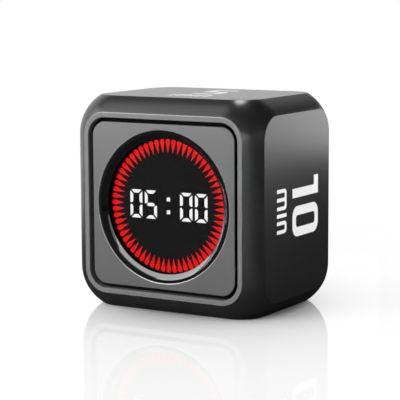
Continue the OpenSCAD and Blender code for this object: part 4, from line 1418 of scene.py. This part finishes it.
@dataclass(frozen=True)
class Lamp:
    """A soft rectangular lamp.

    It stands round the middle of the timer: the azimuth is 0 in front of it and grows towards its right.
    Angles are in degrees, lengths in metres and the power in watts.
    """

    name: str
    azimuth: float
    elevation: float
    distance: float
    wide: float
    high: float
    power: float
    spread: float = 180.0
    aim: Triple = (0.0, 0.0, 0.032)

    MIDDLE = Vector((0.0, 0.0, 0.032))

    def build(self) -> None:
        """Add the lamp to the scene."""
        turn, rise = math.radians(self.azimuth), math.radians(self.elevation)
        way = Vector((math.sin(turn) * math.cos(rise), -math.cos(turn) * math.cos(rise), math.sin(rise)))
        light = bpy.data.lights.new(self.name, "AREA")
        light.shape = "RECTANGLE"
        light.size = self.wide
        light.size_y = self.high
        light.energy = self.power
        light.spread = math.radians(self.spread)
        made = add_object(self.name, light)
        made.location = self.MIDDLE + way * self.distance
        made.rotation_mode = "QUATERNION"
        made.rotation_quaternion = (Vector(self.aim) - made.location).to_track_quat("-Z", "Y")


class Studio:
    """Floor, world, lamps and camera.

    The floor's mirror image and soft shadow fall with a power of the distance from the part's middle, from
    their share at FADE metres. The backdrop's edge lies between two distances on the floor and between two
    cosines in the world.
    """

    LAMPS = (
        Lamp("front_fill", -30, 12, 0.5, 0.2, 0.2, 2.3),
        Lamp("front_low", -34, 6, 0.3, 0.2, 0.06, 0.33),
        Lamp("front_arch", -34, 30, 0.3, 0.53, 0.19, 0.92),
        Lamp("front_tip", 12, 11.5, 0.3, 0.055, 0.11, 0.018),
        Lamp("right_fill", 75, 12, 0.5, 0.2, 0.2, 0.07),
        Lamp("right_strip", 38, 8, 0.4, 0.02, 0.05, 0.00103, 4.0, (0.0275, -0.021, 0.032)),
        Lamp("left_top", -60, 58, 0.5, 0.2, 0.2, 0.21),
        Lamp("right_far", 120, 8, 0.2, 0.08, 0.08, 0.09),
        Lamp("right_near", 130, 14, 0.12, 0.05, 0.05, 0.012),
        Lamp("right_back", 150, 14, 0.12, 0.05, 0.05, 0.02),
        Lamp("back_box", -150, 16, 0.5, 0.2, 0.2, 0.02),
        Lamp("back_top", 180, 35, 0.5, 0.2, 0.2, 0.055),
        Lamp("corner_spot", -155, 77, 0.4, 0.006, 0.006, 0.00005, 1.5, (0.0247, -0.02, 0.0632)),
    )
    WHITE = (1.0, 1.0, 1.0, 1.0)
    BACKDROP = (-0.84, 0.54, 0.0)
    FLOOR_REACH = 12.0
    FLOOR_DROP = 0.00003
    # Tone and shine of the floor that is seen and of the near-black floor that mirrored rays see everywhere
    # but towards the backdrop, a painted shade, then its clouds.
    FLOOR_LEVELS = ((0.8, 0.5), (0.03, 0.0))
    FLOOR_CLOUD, FLOOR_MOTTLE = 40.0, 0.03
    FADE = 0.03
    IMAGE = (-1.25, 0.42)
    SHADOW = (-2.3, 0.95)
    FLOOR_BACKDROP = (0.1, 0.3)
    WORLD_BACKDROP = (0.6, 0.8)
    WORLD_LEVELS = (1.0, 0.44, 0.05)
    EYE = (0.24799, -0.41223, 0.09738)
    YAW, PITCH, ROLL = 31.216, 7.824, -0.3012
    LENS, SENSOR, CLIP = 142.74, 36.0, 0.01

    def build(self) -> None:
        """Make the whole studio."""
        self._floor()
        self._world()
        for lamp in self.LAMPS:
            lamp.build()
        self._camera()
        bpy.context.scene.view_settings.view_transform = "Standard"

    @staticmethod
    def _seen(tree: Tree) -> tuple[Wire, Wire]:
        """1 for rays that the camera sees directly and for mirrored rays, else 0."""
        path = tree.node("ShaderNodeLightPath")
        camera, through, glossy = (
            Wire(tree, path.outputs[f"Is {kind} Ray"]) for kind in ("Camera", "Transmission", "Glossy")
        )
        return camera.most(through), glossy

    def _towards_backdrop(self, tree: Tree, where: Wire) -> Wire:
        """How far a place or a direction lies towards the backdrop."""
        inputs = {0: where, 1: self.BACKDROP}
        return tree.wire("ShaderNodeVectorMath", "Value", {"operation": "DOT_PRODUCT"}, inputs)

    def _floor_material(self) -> bpy.types.Material:
        """Pale floor with a faint mirror image and a soft shadow of what stands on it, and painted shade
        where mirrored rays see the floor away from the backdrop.

        Returns:
            The material.
        """
        material = bpy.data.materials.new("floor_white")
        tree = Tree.of(material)
        low, high = 1 - self.FLOOR_MOTTLE, 1 + self.FLOOR_MOTTLE
        matt, dark = (
            tree.surface(
                Base_Color=tree.mix(tree.noise(self.FLOOR_CLOUD), (low * level,) * 3, (high * level,) * 3),
                Roughness=0.6,
                Specular_IOR_Level=shine,
            )
            for level, shine in self.FLOOR_LEVELS
        )
        white = tree.wire("ShaderNodeEmission", inputs={"Color": self.WHITE, "Strength": 1.0})
        gloss = tree.wire("ShaderNodeBsdfGlossy", inputs={"Color": self.WHITE, "Roughness": 0.0})
        away = tree.wire("ShaderNodeVectorMath", "Value", {"operation": "LENGTH"}, {0: tree.place()})
        falls = (self.IMAGE, self.SHADOW)
        image, shadow = ((away * (1 / self.FADE)).power(fall) * share for fall, share in falls)
        behind = self._towards_backdrop(tree, tree.place()).span(*self.FLOOR_BACKDROP)
        direct, glossy = self._seen(tree)
        shown = tree.blend(image, tree.blend(shadow, white, matt), gloss)
        # Mirrored rays see the near-black floor except towards the backdrop: painted shade that darkens the
        # lower sides of the part.
        around = tree.blend(glossy, matt, tree.blend(behind, dark, white))
        tree.close(tree.blend(direct, around, shown))
        return material

    def _floor(self) -> None:
        """Large floor just under the part."""
        mesh = bpy.data.meshes.new("floor")
        reach = self.FLOOR_REACH
        corners = [(x, y, -self.FLOOR_DROP) for x, y in rectangle(-reach, -reach, reach, reach)]
        mesh.from_pydata(corners, [], [(0, 1, 2, 3)])
        mesh.materials.append(self._floor_material())
        floor = add_object("floor", mesh)

    def _world(self) -> None:
        """Even fill light, with a white backdrop that the camera and the mirror images see."""
        world = bpy.data.worlds.new("studio")
        bpy.context.scene.world = world
        tree = Tree.of(world)
        way = tree.wire("ShaderNodeTexCoord", "Generated")
        facing = self._towards_backdrop(tree, way).span(*self.WORLD_BACKDROP)
        white, fill, dim = (
            tree.wire("ShaderNodeBackground", inputs={"Color": self.WHITE, "Strength": level})
            for level in self.WORLD_LEVELS
        )
        direct, glossy = self._seen(tree)
        tree.close(tree.blend(glossy, tree.blend(direct, fill, white), tree.blend(facing, dim, white)))

    def _camera(self) -> None:
        """Camera of the photograph's view."""
        data = bpy.data.cameras.new("camera")
        data.lens = self.LENS
        data.sensor_width = self.SENSOR
        data.clip_start = self.CLIP
        view = Matrix.Translation(self.EYE)
        for angle, axis in ((self.YAW, "Z"), (90.0 - self.PITCH, "X"), (self.ROLL, "Z")):
            view = view @ Matrix.Rotation(math.radians(angle), 4, axis)
        camera = add_object("camera", data)
        camera.matrix_world = view
        bpy.context.scene.camera = camera


def main() -> None:
    """Build the timer's looks and its studio."""
    logging.basicConfig(level=logging.INFO)
    paints = Paints()
    for part in (Shells(paints), Display(paints), Prints(paints), Hardware(paints)):
        part.build()
        LOG.info("built %s", type(part).__name__)
    Studio().build()
    bpy.context.view_layer.update()


if __name__ == "__main__":
    main()
